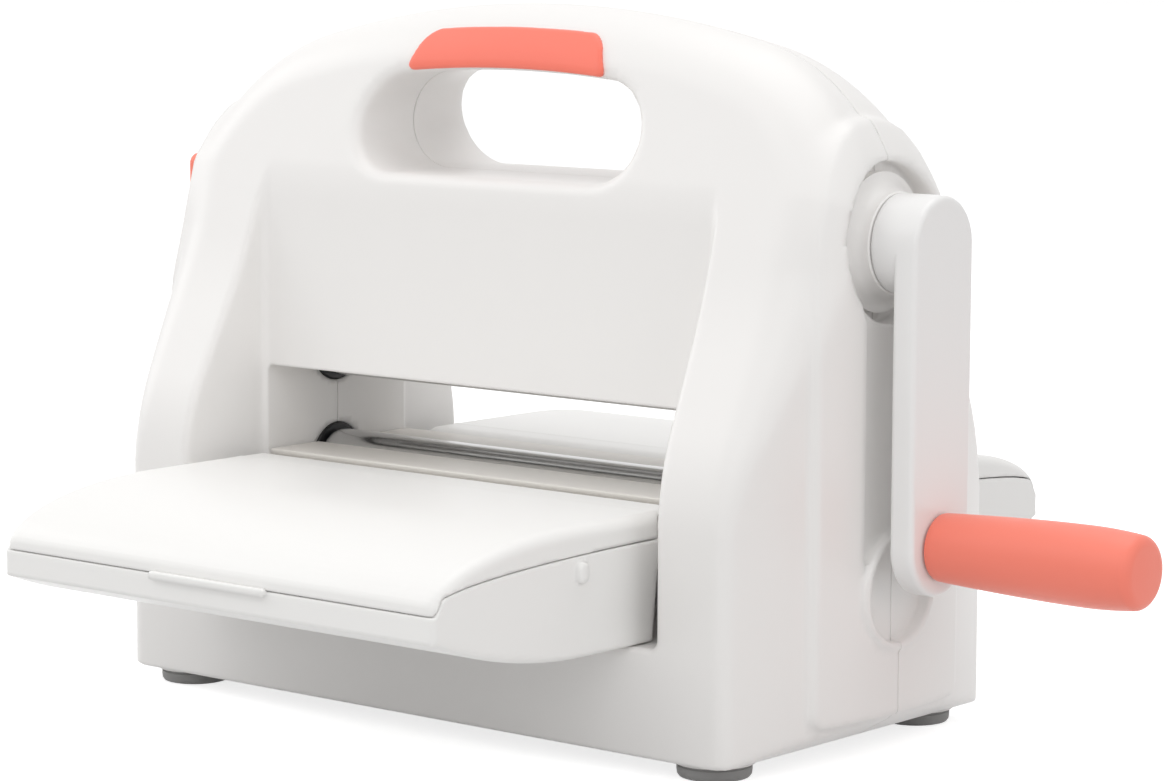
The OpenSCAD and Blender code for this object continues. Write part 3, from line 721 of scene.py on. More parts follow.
class Finishes:
    """Every finish of the machine, by the record's slot."""

    def __init__(self) -> None:
        """Makes the materials once."""
        recipes = {
            Slot.SHELL: MouldedFinish("satin_white_shell", linear(243, 241, 239)),
            Slot.DECK: MouldedFinish("satin_cream_deck", linear(236, 232, 226), 0.36, 0.44),
            Slot.ARM: MouldedFinish("gloss_white_arm", linear(243, 242, 241), 0.27, 0.31, relief=0.00001),
            Slot.TRAY: MouldedFinish("satin_white_tray", linear(244, 243, 241)),
            Slot.RUBBER: RubberFinish("grey_foot_rubber", linear(150, 149, 148)),
            Slot.GRIP: RubberFinish("coral_grip_rubber", linear(255, 125, 104), 0.50),
            Slot.KNOB: RubberFinish("coral_handle_skin", linear(255, 134, 113), 0.46),
            Slot.BUSHING: MouldedFinish("black_bearing_plastic", linear(30, 30, 32), 0.38, 0.5),
            Slot.ROLLER: SteelFinish("ground_roller_steel", linear(214, 214, 214), 0.16),
            Slot.SCREW: SteelFinish("zinc_screw_steel", linear(168, 170, 174), 0.28),
            Slot.FRAME: SteelFinish("rolled_frame_steel", linear(176, 179, 184), 0.36),
        }
        self.by_slot = {slot: recipe.make() for slot, recipe in recipes.items()}

    def dress(self, piece: bpy.types.Object, slot: Slot) -> None:
        """Gives a piece the finish of a slot.

        Args:
            piece: Mesh object.
            slot: Slot of the record.
        """
        piece.data.materials.clear()
        piece.data.materials.append(self.by_slot[slot])


def place(
    piece: bpy.types.Object, rider: Rider, slot: Slot, finishes: Finishes, nodes: Sequence[str]
) -> None:
    """Dresses a piece, sets it on its body and lets it stand for its nodes.

    Args:
        piece: Finished mesh object.
        rider: Body that carries it.
        slot: Slot of the record.
        finishes: The machine's finishes.
        nodes: Frame nodes that the piece stands for.
    """
    finishes.dress(piece, slot)
    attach(piece, rider.value)
    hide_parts(*nodes)
    LOG.info("%s: %d faces on %s", piece.name, len(piece.data.polygons), rider.value)


# ---------------------------------------------------------------- housing


@dataclass
class HousingForm:
    """Sizes of the housing's mouldings, in millimetres."""

    # Body, crown and the undercut foot.
    half_width: float = 132.5
    half_depth: float = 64.5
    height: float = 219.0
    floor: float = 5.3
    side_radius: float = 172.658
    wall: float = 2.6
    toe_x: float = 120.0
    toe_rise: float = 7.4
    toe_round: float = 1.2
    crown_radius: float = 350.0
    shoulder_radius: float = 60.0
    # Leaning faces: slopes, the heights where they bend, and the round of the upright corners.
    lean_low: float = 0.48
    lean_high: float = 0.3298
    bends: tuple[float, float, float, float] = (72.0, 100.0, 122.0, 145.0)
    corner_low: float = 3.6
    corner_high: float = 16.0
    # Arched panel raised on each side.
    panel_half: float = 36.0
    panel_floor: float = 13.5
    panel_raise: float = 2.5
    panel_foot_round: float = 5.0
    panel_edge: float = 1.7
    panel_fillet: float = 1.4
    # Bays of the folded trays, and the feed slot.
    bay_inner: float = 91.4
    bay_flare: float = 4.0
    flare_limit: float = 1.2
    bay_depth: float = 32.0
    bay_floor: float = 37.0
    bay_top: float = 175.0
    bay_round: float = 3.0
    slot_half: float = 90.0
    slot_low: float = 72.0
    slot_top: float = 102.0
    slot_round: float = 1.5
    slot_overlap: float = 4.0
    opening_rim: float = 1.9
    # Hand hole.
    hole_half: float = 56.0
    hole_rim: float = 3.8
    hole_low: float = 166.0
    hole_high: float = 198.4
    arch_radius: float = 450.0
    # Recess round the crank shaft, channel of the arm and ring that the handle docks on.
    crank_z: float = 152.0
    recess_floor: float = 124.0
    recess_radius: float = 23.5
    dish_radius: float = 28.5
    dish_depth: float = 2.6
    dish_slope: float = 2.0
    dish_rim: float = 1.8
    channel_half: float = 16.0
    channel_floor: float = 132.0
    channel_rim: float = 1.5
    dock_z: float = 50.4
    dock_radius: float = 16.3
    dock_half: float = 1.25
    dock_sunk: float = 3.0
    dock_proud: float = 0.9
    dock_edge: float = 1.0
    dock_fillet: float = 0.7
    # Windows of the rollers and their bearings.
    roller_heights: tuple[float, float] = (68.5, 106.0)
    window_half: float = 11.8
    window_inset: float = 0.1
    bearing_depth: float = 4.0
    # Seam, foot edge, screw posts.
    seam_gap: float = 0.17
    seam_edge: float = 0.25
    foot_edge: float = 1.0
    posts: tuple[tuple[float, float], ...] = ((112.0, 22.0), (80.0, 176.0))
    post_radius: float = 6.2
    post_cover: float = 1.0
    post_foot: float = 6.0
    screw_hole: float = 4.1
    screw_seat: float = 12.0
    # Soft grips.
    grip_half: float = 40.0
    grip_slant: float = 5.6
    grip_end: float = 0.97
    grip_floor: float = 0.7
    grip_thick: float = 1.4
    grip_sunk: float = 0.3
    grip_drop: float = 7.5
    grip_high_round: float = 4.6
    grip_low_round: float = 3.0
    grip_edge: float = 0.75

    @property
    def face(self) -> float:
        """Place of the raised side panel's face at mid depth."""
        return self.half_width + self.panel_raise

    def pillar(self, z: Array) -> Array:
        """Distance of the pillar faces from the mid plane at height z.

        Args:
            z: Heights, in millimetres.

        Returns:
            The distances.
        """
        a, b, c, d = self.bends
        lost = self.lean_low - self.lean_high
        return self.half_depth - self.lean_low * ramp(z, a, b) + lost * ramp(z, c, d)

    def lean(self, y: Array, z: Array) -> Array:
        """Signed distance to the leaning front and rear faces.

        Args:
            y: Places along Y, in millimetres.
            z: Places along Z.

        Returns:
            Signed distance in millimetres, negative inside.
        """
        a, b, c, d = self.bends
        slope = self.lean_low * ramp_slope(z, a, b)
        slope = slope - (self.lean_low - self.lean_high) * ramp_slope(z, c, d)
        return (np.abs(y) - self.pillar(z)) / np.hypot(1, slope)

    def sides(self, x: Array, y: Array, z: Array) -> Array:
        """Signed distance to the barrel sides, their undercut foot, the shoulders and the crown.

        Args:
            x: Places along X, in millimetres.
            y: Places along Y.
            z: Places along Z.

        Returns:
            Signed distance in millimetres, negative inside.
        """
        ax = np.abs(x)
        barrel = np.hypot(ax + self.side_radius - self.half_width, y) - self.side_radius
        crown_z = self.height - self.crown_radius
        reach = self.crown_radius - self.shoulder_radius
        shoulder_x = self.half_width - self.shoulder_radius
        shoulder_z = crown_z + math.sqrt(reach**2 - shoulder_x**2)
        shoulder = np.hypot(ax - shoulder_x, z - shoulder_z) - self.shoulder_radius
        crown = np.hypot(ax, z - crown_z) - self.crown_radius
        past = (z - crown_z) * shoulder_x > ax * (shoulder_z - crown_z)
        outline = np.where(z < shoulder_z, ax - self.half_width, np.where(past, crown, shoulder))
        run = self.half_width - self.toe_x
        toe = ((ax - self.toe_x) * self.toe_rise - (z - self.floor) * run) / math.hypot(run, self.toe_rise)
        return round_max(np.maximum(barrel, outline), toe, self.toe_round)

    def corner(self, z: Array) -> Array:
        """Round of the upright corners at height z.

        Args:
            z: Heights, in millimetres.

        Returns:
            The radii.
        """
        a, _, _, d = self.bends
        return self.corner_low + (self.corner_high - self.corner_low) * np.clip((z - a) / (d - a), 0, 1)

    def envelope(self, x: Array, y: Array, z: Array) -> Array:
        """Signed distance to the body with its arched side panels, before anything is cut.

        Args:
            x: Places along X, in millimetres.
            y: Places along Y.
            z: Places along Z.

        Returns:
            Signed distance in millimetres, negative inside.
        """
        sides = self.sides(x, y, z)
        arch = np.where(z > self.crank_z, np.hypot(y, z - self.crank_z) - self.panel_half,
                        round_max(np.abs(y) - self.panel_half, self.panel_floor - z, self.panel_foot_round))
        panel = round_max(sides - self.panel_raise, arch, self.panel_edge)
        return round_max(self.lean(y, z), round_min(sides, panel, self.panel_fillet), self.corner(z))

    def openings(self, x: Array, y: Array, z: Array) -> Array:
        """Signed distance to the tray bays and the feed slot.

        Args:
            x: Places along X, in millimetres.
            y: Places along Y.
            z: Places along Z.

        Returns:
            Signed distance in millimetres, negative inside.
        """
        ax, ay = np.abs(x), np.abs(y)
        outwards = (ay - self.bay_depth) / (self.half_depth - self.bay_depth)
        spread = self.bay_inner + self.bay_flare * np.clip(outwards, 0, self.flare_limit)
        bay = round_max(ax - spread, self.bay_depth - ay, self.bay_round)
        bay = round_max(bay, self.bay_floor - z, self.bay_round)
        bay = np.maximum(bay, z - self.bay_top)
        slot = stadium(x, z - (self.slot_low + self.slot_top) / 2, self.slot_half,
                       (self.slot_top - self.slot_low) / 2, self.slot_round)
        return np.minimum(bay, np.maximum(slot, ay - self.bay_depth - self.slot_overlap))

    def arch(self, x: Array) -> Array:
        """Fall of the hand hole's upper edge and of the grips, away from the middle."""
        return x * x / (2 * self.arch_radius)

    def hand_hole(self, x: Array, z: Array) -> Array:
        """Signed distance to the hand hole, whose upper edge follows the crest.

        Args:
            x: Places along X, in millimetres.
            z: Places along Z.

        Returns:
            Signed distance in millimetres, negative inside.
        """
        top = self.hole_high - self.arch(x)
        half = (top - self.hole_low) / 2
        return stadium(x, z - (self.hole_low + top) / 2, self.hole_half, half, half)

    def outside(self, x: Array, y: Array, z: Array) -> Array:
        """Signed distance to the outer surface of the housing, hollows of the outside included.

        Args:
            x: Places along X, in millimetres.
            y: Places along Y.
            z: Places along Z.

        Returns:
            Signed distance in millimetres, negative inside.
        """
        form = cut(self.envelope(x, y, z), self.openings(x, y, z), self.opening_rim)
        form = cut(form, self.hand_hole(x, z), self.hole_rim)
        around = np.hypot(y, z - self.crank_z)
        widening = self.dish_radius - self.recess_radius
        rise = (x - self.face + self.dish_depth) * self.dish_slope
        dish = self.recess_radius + np.clip(rise, 0, widening)
        form = cut(form, np.maximum(around - dish, self.recess_floor - x), self.dish_rim)
        middle = (self.dock_z + self.crank_z) / 2
        half_run = (self.crank_z - self.dock_z) / 2 + self.channel_half
        run = stadium(y, z - middle, self.channel_half, half_run, self.channel_half)
        form = cut(form, np.maximum(run, self.channel_floor - x), self.channel_rim)
        ring = np.abs(np.hypot(y, z - self.dock_z) - self.dock_radius) - self.dock_half
        height = slab(x, self.channel_floor - self.dock_sunk, self.face + self.dock_proud)
        return round_min(form, round_max(ring, height, self.dock_edge), self.dock_fillet)

    def shell(self, x: Array, y: Array, z: Array) -> Array:
        """Signed distance to the hollow mouldings, front and rear together.

        Args:
            x: Places along X, in millimetres.
            y: Places along Y.
            z: Places along Z.

        Returns:
            Signed distance in millimetres, negative inside.
        """
        solid = self.outside(x, y, z)
        ax = np.abs(x)
        walls = np.maximum(round_max(solid, self.floor - z, self.foot_edge), -(solid + self.wall))
        to_post = np.minimum.reduce([np.hypot(ax - px, z - pz) for px, pz in self.posts])
        post = np.maximum(to_post - self.post_radius, solid + self.post_cover)
        walls = np.minimum(walls, np.maximum(post, self.floor + self.post_foot - z))
        low, high = self.roller_heights
        across = np.maximum(np.abs(y) - self.window_half, ax - self.slot_half + self.window_inset)
        window = np.maximum(slab(z, low - self.window_half, high + self.window_half), across)
        bearings = np.minimum(np.hypot(y, z - low), np.hypot(y, z - high)) - self.window_half
        window = np.minimum(window, np.maximum(bearings, ax - self.slot_half - self.bearing_depth))
        walls = np.maximum(walls, -window)
        return np.maximum(walls, -np.maximum(to_post - self.screw_hole, self.screw_seat - y))

    def half(self, side: Side) -> Field:
        """Field of one moulding, split from the other at mid depth.

        Args:
            side: Which half.

        Returns:
            Its distance field.
        """
        def form(x: Array, y: Array, z: Array) -> Array:
            """Signed distance to this half."""
            return round_max(self.shell(x, y, z), self.seam_gap - side.value * y, self.seam_edge)

        return form

    def grip(self, x: Array, y: Array, z: Array) -> Array:
        """Signed distance to the soft grips, a pad on each side of the bar over the hand hole.

        Args:
            x: Places along X, in millimetres.
            y: Places along Y.
            z: Places along Z.

        Returns:
            Signed distance in millimetres, negative inside.
        """
        bar = self.outside(x, y, z)
        skin = np.maximum(bar - self.grip_thick, -bar - self.grip_sunk)
        top = self.height - self.grip_drop
        low = self.hole_high + self.grip_floor
        z = z + self.arch(x)
        edge = self.grip_half - self.grip_slant * np.clip((z - low) / (top - low), 0, 1)
        end = (np.abs(x) - edge) * self.grip_end
        region = round_max(round_max(end, z - top, self.grip_high_round), low - z, self.grip_low_round)
        return round_max(skin, region, self.grip_edge)


@dataclass
class Housing:
    """The front and rear mouldings and the soft grips.

    Attributes:
        finishes: The machine's finishes.
        form: Sizes of the mouldings.
        step: Largest spacing of the grid lines, in millimetres.
        fine: Spacing beside the edges of the bays, the slot and the foot.
        grip_steps: Spacing along each axis for the grips.
        margin: Room left around a form.
    """

    finishes: Finishes
    form: HousingForm = field(default_factory=HousingForm)
    step: float = 1.78
    fine: float = 0.85
    grip_steps: tuple[float, float, float] = (0.9, 0.8, 0.7)
    margin: float = 2.0

    def _lines(self, side: Side) -> tuple[Array, Array, Array]:
        """Grid lines for one moulding, closer where an edge has a small round.

        Args:
            side: Which half.

        Returns:
            Lines along X, Y and Z.
        """
        form, step, fine = self.form, self.step, self.fine
        out = ruled(0.4, form.face + 4, step, [
            near(form.slot_half, 1.2, 3.8, fine), near(form.face, 5, 4, 0.9)])
        xs = np.concatenate([-out[::-1], out])
        away = ruled(0.05, form.half_depth + 1.5, step, [
            (0.0, 0.9, 0.2), (0.9, 2.5, 0.6), near(form.bay_depth, 3.4, 2.6, fine)])
        ys = away if side is Side.REAR else -away[::-1]
        zs = ruled(form.floor - 1.6, form.height + self.margin, step, [
            near(form.floor, 1.6, 2.8, fine), near(form.bay_floor, 1, 3, fine),
            near(form.slot_low, 1, 2, fine), near(form.slot_top, 2, 2, fine)])
        return xs, ys, zs

    def build_shells(self) -> None:
        """Makes the front and rear mouldings."""
        for side in Side:
            name = f"{side.name.lower()}_shell"
            vertices, faces = FieldMesher(self.form.half(side), *self._lines(side)).build()
            piece = new_piece(f"{name}_moulding", vertices, faces)
            place(piece, Rider.HOUSING, Slot.SHELL, self.finishes, [name])

    def build_grip(self) -> None:
        """Makes the soft grips."""
        form, (across, deep, high) = self.form, self.grip_steps
        half = form.grip_half + self.margin
        xs = ruled(-half, half, across)
        ys = ruled(-form.bay_depth, form.bay_depth, deep)
        zs = ruled(form.hole_high - 3, form.height - form.grip_drop + self.margin, high)
        piece = new_piece("soft_grips", *FieldMesher(form.grip, xs, ys, zs).build())
        place(piece, Rider.HOUSING, Slot.GRIP, self.finishes, ["grip_pad"])

    def build(self) -> None:
        """Makes every piece of the housing."""
        self.build_shells()
        self.build_grip()


# ---------------------------------------------------------------- trays


@dataclass
class TrayForm:
    """Sizes of a feed tray's two mouldings, seen with the tray towards -Y."""

    # Side view: top, underside, nose and hinge.
    half: float = 87.0
    nose_half: float = 86.2
    taper_start: float = 60.0
    top: float = 75.0
    under: float = 37.3
    back: float = 52.0
    heel: float = 8.0
    reach: float = 148.5
    hinge_y: float = 43.0
    hinge_z: float = 65.0
    crown_start: float = 90.0
    crown_fall: float = 16.5
    crown_points: int = 19
    belly_start: float = 85.0
    nose_rise: float = 12.2
    belly_points: int = 14
    # Seam between cover and base.
    seam_drop: float = 7.7
    seam_fall: float = 6.2
    seam_short: float = 3.2
    seam_cut: float = 0.12
    seam_past: float = 1.2
    nose_drop: float = 9.9
    gap: float = 0.2
    seam_edge: float = 0.3
    # Walls, rounds and the lip that rolls round the hinge.
    wall: float = 2.2
    cover_round: float = 3.6
    base_round: float = 1.6
    fillet: float = 0.5
    lip: float = 10.0
    lip_back: float = 9.5
    lip_round: float = 4.2
    # Hinge ears, click nubs and finger lip.
    ear: float = 7.2
    ear_low: float = 80.2
    ear_high: float = 86.2
    ear_play: float = 0.35
    ear_edge: float = 0.6
    bore: float = 2.62
    nub_y: float = 87.5
    nub_z: float = 62.0
    nub_proud: float = 1.7
    nub_edge: float = 0.9
    lip_half: float = 23.0
    finger_proud: float = 1.9
    finger_edge: float = 0.6
    # Screw posts.
    posts: tuple[tuple[float, float], ...] = ((60.0, 66.0), (60.0, 112.0))
    post_radius: float = 4.5
    screw_hole: float = 4.1
    screw_seat: float = 10.0

    def _drop(self, y: float, run: float, fall: float, count: int) -> list[tuple[float, float]]:
        """Points of an arc that starts level at (-y, 0) and falls over a run.

        Args:
            y: Distance of its start from the mid plane.
            run: Its length along Y.
            fall: Its fall over that run.
            count: Number of points after the start.

        Returns:
            The points (y, z).
        """
        radius = (run * run + fall * fall) / (2 * fall)
        full = math.asin(min(1.0, run / radius))
        steps = [full * i / count for i in range(1, count + 1)]
        return [(-y - radius * math.sin(a), -radius * (1 - math.cos(a))) for a in steps]

    @property
    def outline(self) -> list[tuple[float, float]]:
        """Side view of the closed tray.

        Returns:
            Its corners (y, z).
        """
        run = self.reach - self.crown_start
        crown = [(-self.crown_start - run * math.sin(a), self.top - self.crown_fall * (1 - math.cos(a)))
                 for a in np.linspace(0, QUARTER, self.crown_points)]
        run = self.reach - self.belly_start
        belly = self._drop(self.belly_start, run, self.nose_rise, self.belly_points)
        return (
            [(-self.hinge_y - self.heel, self.top)]
            + crown
            + [(y, self.under - z) for y, z in reversed(belly)]
            + [(-self.belly_start, self.under), (-self.back - 2.5, self.under)]
            + [(-self.hinge_y - self.heel, self.top - self.seam_drop)]
        )

    def seam(self, y: Array) -> Array:
        """Height of the seam between cover and base.

        Args:
            y: Places along Y, in millimetres.

        Returns:
            The heights.
        """
        high = self.top - self.seam_drop
        run = self.reach - self.seam_short - self.back
        line = [(-self.back - run * math.sin(a), high - self.seam_fall * (1 - math.cos(a)))
                for a in np.linspace(0, QUARTER - self.seam_cut, self.crown_points)]
        line.append((-self.reach + self.seam_past, high - self.nose_drop))
        ys, zs = np.array(line[::-1]).T
        return np.interp(y, ys, zs)

    def body(self, x: Array, y: Array, z: Array) -> Array:
        """Signed distance to the closed tray.

        Args:
            x: Places along X, in millimetres.
            y: Places along Y.
            z: Places along Z.

        Returns:
            Signed distance in millimetres, negative inside.
        """
        side = polygon_field(y, z, self.outline)
        taper = np.clip((-y - self.taper_start) / (self.reach - self.taper_start), 0, 1)
        edge = np.abs(x) - (self.half - (self.half - self.nose_half) * taper * taper)
        round_off = np.where(z > self.seam(y), self.cover_round, self.base_round)
        return round_max(side, edge, round_off)

    def cover(self, x: Array, y: Array, z: Array) -> Array:
        """Signed distance to the cover, with the lip that rolls round the hinge.

        Args:
            x: Places along X, in millimetres.
            y: Places along Y.
            z: Places along Z.

        Returns:
            Signed distance in millimetres, negative inside.
        """
        body = self.body(x, y, z)
        hollow = body + self.wall
        split = self.seam(y) + self.gap - z
        skin = np.maximum(np.maximum(body, split), -np.maximum(hollow, y + self.back + 1))
        around = np.hypot(y + self.hinge_y, z - self.hinge_z)
        start = -self.hinge_y - self.lip_back
        lip = np.maximum(slab(around, self.lip - self.wall, self.lip), start - y)
        lip = np.maximum(lip, self.hinge_z - z)
        bridge = np.maximum(slab(z, self.top - self.wall, self.top), slab(y, start, -self.hinge_y))
        lip = round_max(np.minimum(lip, bridge), np.abs(x) - self.half, self.lip_round)
        form = round_min(skin, lip, self.fillet)
        return np.maximum(form, self.ear + self.ear_play - around)

    def base(self, x: Array, y: Array, z: Array) -> Array:
        """Signed distance to the base, with its hinge ears, click nubs, finger lip and posts.

        Args:
            x: Places along X, in millimetres.
            y: Places along Y.
            z: Places along Z.

        Returns:
            Signed distance in millimetres, negative inside.
        """
        body = self.body(x, y, z)
        split = z - self.seam(y) + self.gap
        skin = round_max(np.maximum(body, -(body + self.wall)), split, self.seam_edge)
        ax = np.abs(x)
        around = np.hypot(y + self.hinge_y, z - self.hinge_z)
        ear_arm = np.maximum(slab(y, -self.back - 3, -self.hinge_y),
                             slab(z, self.hinge_z - self.ear, self.hinge_z + 1.5))
        ear = np.minimum(around - self.ear, ear_arm)
        ear = round_max(ear, slab(ax, self.ear_low, self.ear_high), self.ear_edge)
        nub = round_max(stadium(y + self.nub_y, z - self.nub_z, 2.1, 3.0, 2.0),
                        slab(ax, self.half - 3, self.half + self.nub_proud), self.nub_edge)
        lip = round_max(stadium(x, z - self.seam(y) + 0.5, self.lip_half, 1.2, 1.1),
                        slab(y, -self.reach - self.finger_proud, -self.reach + 1.5), self.finger_edge)
        lip = np.maximum(lip, np.minimum(split, y + self.reach - 0.1))
        to_post = np.minimum.reduce([np.hypot(ax - px, y + py) for px, py in self.posts])
        post = np.maximum(np.maximum(to_post - self.post_radius, body + 0.5), split)
        form = np.minimum(np.minimum(round_min(skin, np.minimum(nub, lip), self.fillet), post), ear)
        form = np.maximum(form, -np.maximum(to_post - self.screw_hole, z - self.under - self.screw_seat))
        bore = np.maximum(around - self.bore, self.ear_low - 3 - ax)
        return np.maximum(form, -bore)


@dataclass
class FeedTray:
    """One of the two trays that fold up between the pillars.

    Attributes:
        finishes: The machine's finishes.
        side: Side of the machine that the tray is on.
        rider: Body that it moves with.
        form: Sizes of its mouldings.
        step: Largest spacing of the grid lines, in millimetres.
        fine: Spacing near the hinge, the sides and the nose.
    """

    finishes: Finishes
    side: Side
    rider: Rider
    form: TrayForm = field(default_factory=TrayForm)
    step: float = 1.5
    fine: float = 0.8

    def _piece(self, part: str, shape: Field, xs: Array, ys: Array, zs: Array) -> None:
        """Meshes one moulding, turns it to its side of the machine and sets it in place.

        Args:
            part: "cover" or "base".
            shape: Its distance field.
            xs: Grid lines along X.
            ys: Grid lines along Y.
            zs: Grid lines along Z.
        """
        vertices, faces = FieldMesher(shape, xs, ys, zs).build()
        if self.side is Side.REAR:
            vertices = vertices * (1, -1, 1)
            faces = faces[:, ::-1]
        name = f"{self.rider.value}_{part}"
        piece = new_piece(f"{name}_moulding", vertices, faces)
        place(piece, self.rider, Slot.TRAY, self.finishes, [name])

    def build(self) -> None:
        """Makes the cover and the base."""
        form, step, fine = self.form, self.step, self.fine
        out = ruled(0.5, form.half + 3, step, [(form.ear_low - 1.2, form.half + 3, fine)])
        xs = np.concatenate([-out[::-1], out])
        front, back = -form.reach - 3, -form.hinge_y + form.lip + 1
        ys = ruled(front, back, step, [(front, -form.reach + 9, fine), (-form.hinge_y - 10, back, fine)])
        cover_z = ruled(form.hinge_z - 9.5, form.top + 1.5, fine)
        low, high = form.under - 1.5, form.hinge_z + 8.5
        base_z = ruled(low, high, step, [(form.hinge_z - 8, high, fine), (low, form.under + 3, fine)])
        self._piece("cover", form.cover, xs, ys, cover_z)
        self._piece("base", form.base, xs, ys, base_z)


# ---------------------------------------------------------------- crank and knobs


@dataclass
class Crank:
    """The crank arm with its turning handle, and the knob on the other end of the shaft.

    Places along X are measured from the middle of the machine, towards the crank, in millimetres.
    """

    finishes: Finishes
    # Arm, its hub and the plug over its screw.
    axis_z: float = 152.0
    throw: float = 87.0
    half: float = 14.6
    inner: float = 141.0
    outer: float = 149.3
    hub_start: float = 133.3
    bore: float = 7.0
    bore_stop: float = 2.5
    arm_edge: float = 1.7
    hub_edge: float = 0.6
    cap: float = 2.0
    cap_sunk: float = 0.5
    # Flared collar.
    collar_start: float = 124.0
    collar_radius: float = 20.5
    collar_bore: float = 7.1
    flare_end: float = 8.2
    flare_run: float = 5.2
    flare_fall: float = 5.5
    # Handle.
    handle_gap: float = 0.6
    handle_tip: float = 218.4
    handle_bore: float = 6.42
    handle_depth: float = 61.0
    neck: float = 10.0
    swell: float = 1.65
    swell_stop: float = 19.0
    tip_edge: float = 3.4
    tip_fall: float = 0.9
    # Left knob.
    flat: float = 14.8
    flat_round: float = 3.4
    left_out: float = -143.5
    left_in: float = -136.0
    left_dish: float = -142.8
    left_seat: float = -141.5
    left_edge: float = 1.3
    dish_radius: float = 8.0
    dish_rim: float = 0.4
    play: float = 0.02
    # Spacing of the grid lines, and the crease angle.
    arm_step: float = 0.8
    left_step: float = 0.6
    crisp: float = 40.0

    def _arm(self, x: Array, y: Array, z: Array) -> Array:
        """Signed distance to the arm and its hub.

        Args:
            x: Places along X, in millimetres.
            y: Places along Y.
            z: Places along Z.

        Returns:
            Signed distance in millimetres, negative inside.
        """
        middle = self.axis_z - self.throw / 2
        plan = stadium(y, z - middle, self.half, self.throw / 2 + self.half, self.half)
        plate = round_max(plan, slab(x, self.inner, self.outer), self.arm_edge)
        around = np.hypot(y, z - self.axis_z)
        hub = round_max(around - self.half, slab(x, self.hub_start, self.inner + 3), self.hub_edge)
        shaft = np.maximum(around - self.bore, x - self.outer + self.bore_stop)
        return np.maximum(np.minimum(plate, hub), -shaft)

    def build(self) -> None:
        """Makes the arm, the handle and the left knob."""
        fine = [near(self.outer, 2.6, 2, 0.45), near(self.inner, 1, 2.4, 0.45)]
        xs = ruled(self.hub_start - 1.5, self.outer + 2, 0.9, fine)
        reach = self.half + 1.5
        ys = ruled(-reach, reach, self.arm_step)
        zs = ruled(self.axis_z - self.throw - reach, self.axis_z + reach, self.arm_step)
        arm = new_piece("crank_arm_moulding", *FieldMesher(self._arm, xs, ys, zs).build())
        place(arm, Rider.CRANK, Slot.ARM, self.finishes, ["crank_arm"])
        self._arm_cap()
        self._collar()
        self._handle()
        self._left_knob()

    def _arm_cap(self) -> None:
        """Makes the white plug over the arm's screw, just under the arm's face."""
        top = self.outer - self.cap_sunk
        cap = self.cap
        profile = [(top - 4, 0.0), (top - 4, cap), (top - 0.35, cap), (top - 0.05, cap - 0.3),
                   (top, cap - 0.6), (top, 0.0)]
        plug = turned_piece("arm_screw_plug", profile, self.axis_z, self.crisp)
        place(plug, Rider.CRANK, Slot.ARM, self.finishes, ["arm_screw"])

    def _collar(self) -> None:
        """Makes the fixed collar round the shaft, flared towards its foot."""
        start, end = self.collar_start, self.hub_start - 0.3
        wide, bore = self.collar_radius, self.collar_bore
        run, fall = self.flare_run, self.flare_fall
        flare = [(start + self.flare_end - run * math.cos(a), wide - fall * math.sin(a))
                 for a in np.linspace(0, QUARTER, 10)]
        neck = wide - fall
        profile = [(start, bore), (start, wide), *flare, (end - 0.4, neck), (end, neck - 0.4), (end, bore)]
        collar = turned_piece("flared_collar", profile, self.axis_z, self.crisp)
        place(collar, Rider.HOUSING, Slot.SHELL, self.finishes, ["crank_collar"])

    def _handle(self) -> None:
        """Makes the coral handle that turns on the spindle."""
        start, tip, edge = self.outer + self.handle_gap, self.handle_tip, self.tip_edge
        neck, swell, fall = self.neck, self.swell, self.tip_fall
        full, inner = tip - self.swell_stop, start + self.handle_depth
        profile = [(start, self.handle_bore), (start, neck - 0.7), (start + 0.25, neck - 0.15),
                   (start + 0.8, neck)]
        profile += [(x, neck + swell * math.sin((x - start) / (full - start) * QUARTER))
                    for x in np.linspace(start + 5, full, 14)]
        profile += [(x, neck + swell - fall * ((x - full) / (tip - edge - full)) ** 2)
                    for x in np.linspace(full + 2, tip - edge, 7)]
        rim = neck + swell - fall - edge
        profile += [(tip - edge + (edge - 0.3) * math.sin(a), rim + edge * math.cos(a))
                    for a in np.linspace(0.25, QUARTER, 9)]
        profile += [(tip - 0.05, rim * 0.5), (tip, 0.0), (inner, 0.0), (inner, self.handle_bore)]
        piece = turned_piece("handle_sleeve", profile, self.axis_z - self.throw, self.crisp)
        place(piece, Rider.KNOB, Slot.KNOB, self.finishes, ["crank_knob"])

    def _left_block(self, x: Array, y: Array, z: Array) -> Array:
        """Signed distance to the square left knob, with its dished face and its bore.

        Args:
            x: Places along X, in millimetres.
            y: Places along Y.
            z: Places along Z.

        Returns:
            Signed distance in millimetres, negative inside.
        """
        flats = round_max(np.abs(y) - self.flat, np.abs(z - self.axis_z) - self.flat, self.flat_round)
        block = round_max(flats, slab(x, self.left_out, self.left_in), self.left_edge)
        around = np.hypot(y, z - self.axis_z)
        block = cut(block, np.maximum(around - self.dish_radius, x - self.left_dish), self.dish_rim)
        bore = np.where(x > self.left_seat, around - self.bore - self.play, around - self.cap - self.play)
        return np.maximum(block, -bore)

    def _left_knob(self) -> None:
        """Makes the coral knob on the left end of the shaft."""
        xs = ruled(self.left_out - 0.8, self.left_in + 0.8, 0.5)
        reach = self.flat + 1
        ys = ruled(-reach, reach, self.left_step)
        zs = ruled(self.axis_z - reach, self.axis_z + reach, self.left_step)
        piece = new_piece("left_coral_knob", *FieldMesher(self._left_block, xs, ys, zs).build())
        place(piece, Rider.CRANK, Slot.KNOB, self.finishes, ["left_knob"])


# ---------------------------------------------------------------- repeated hardware


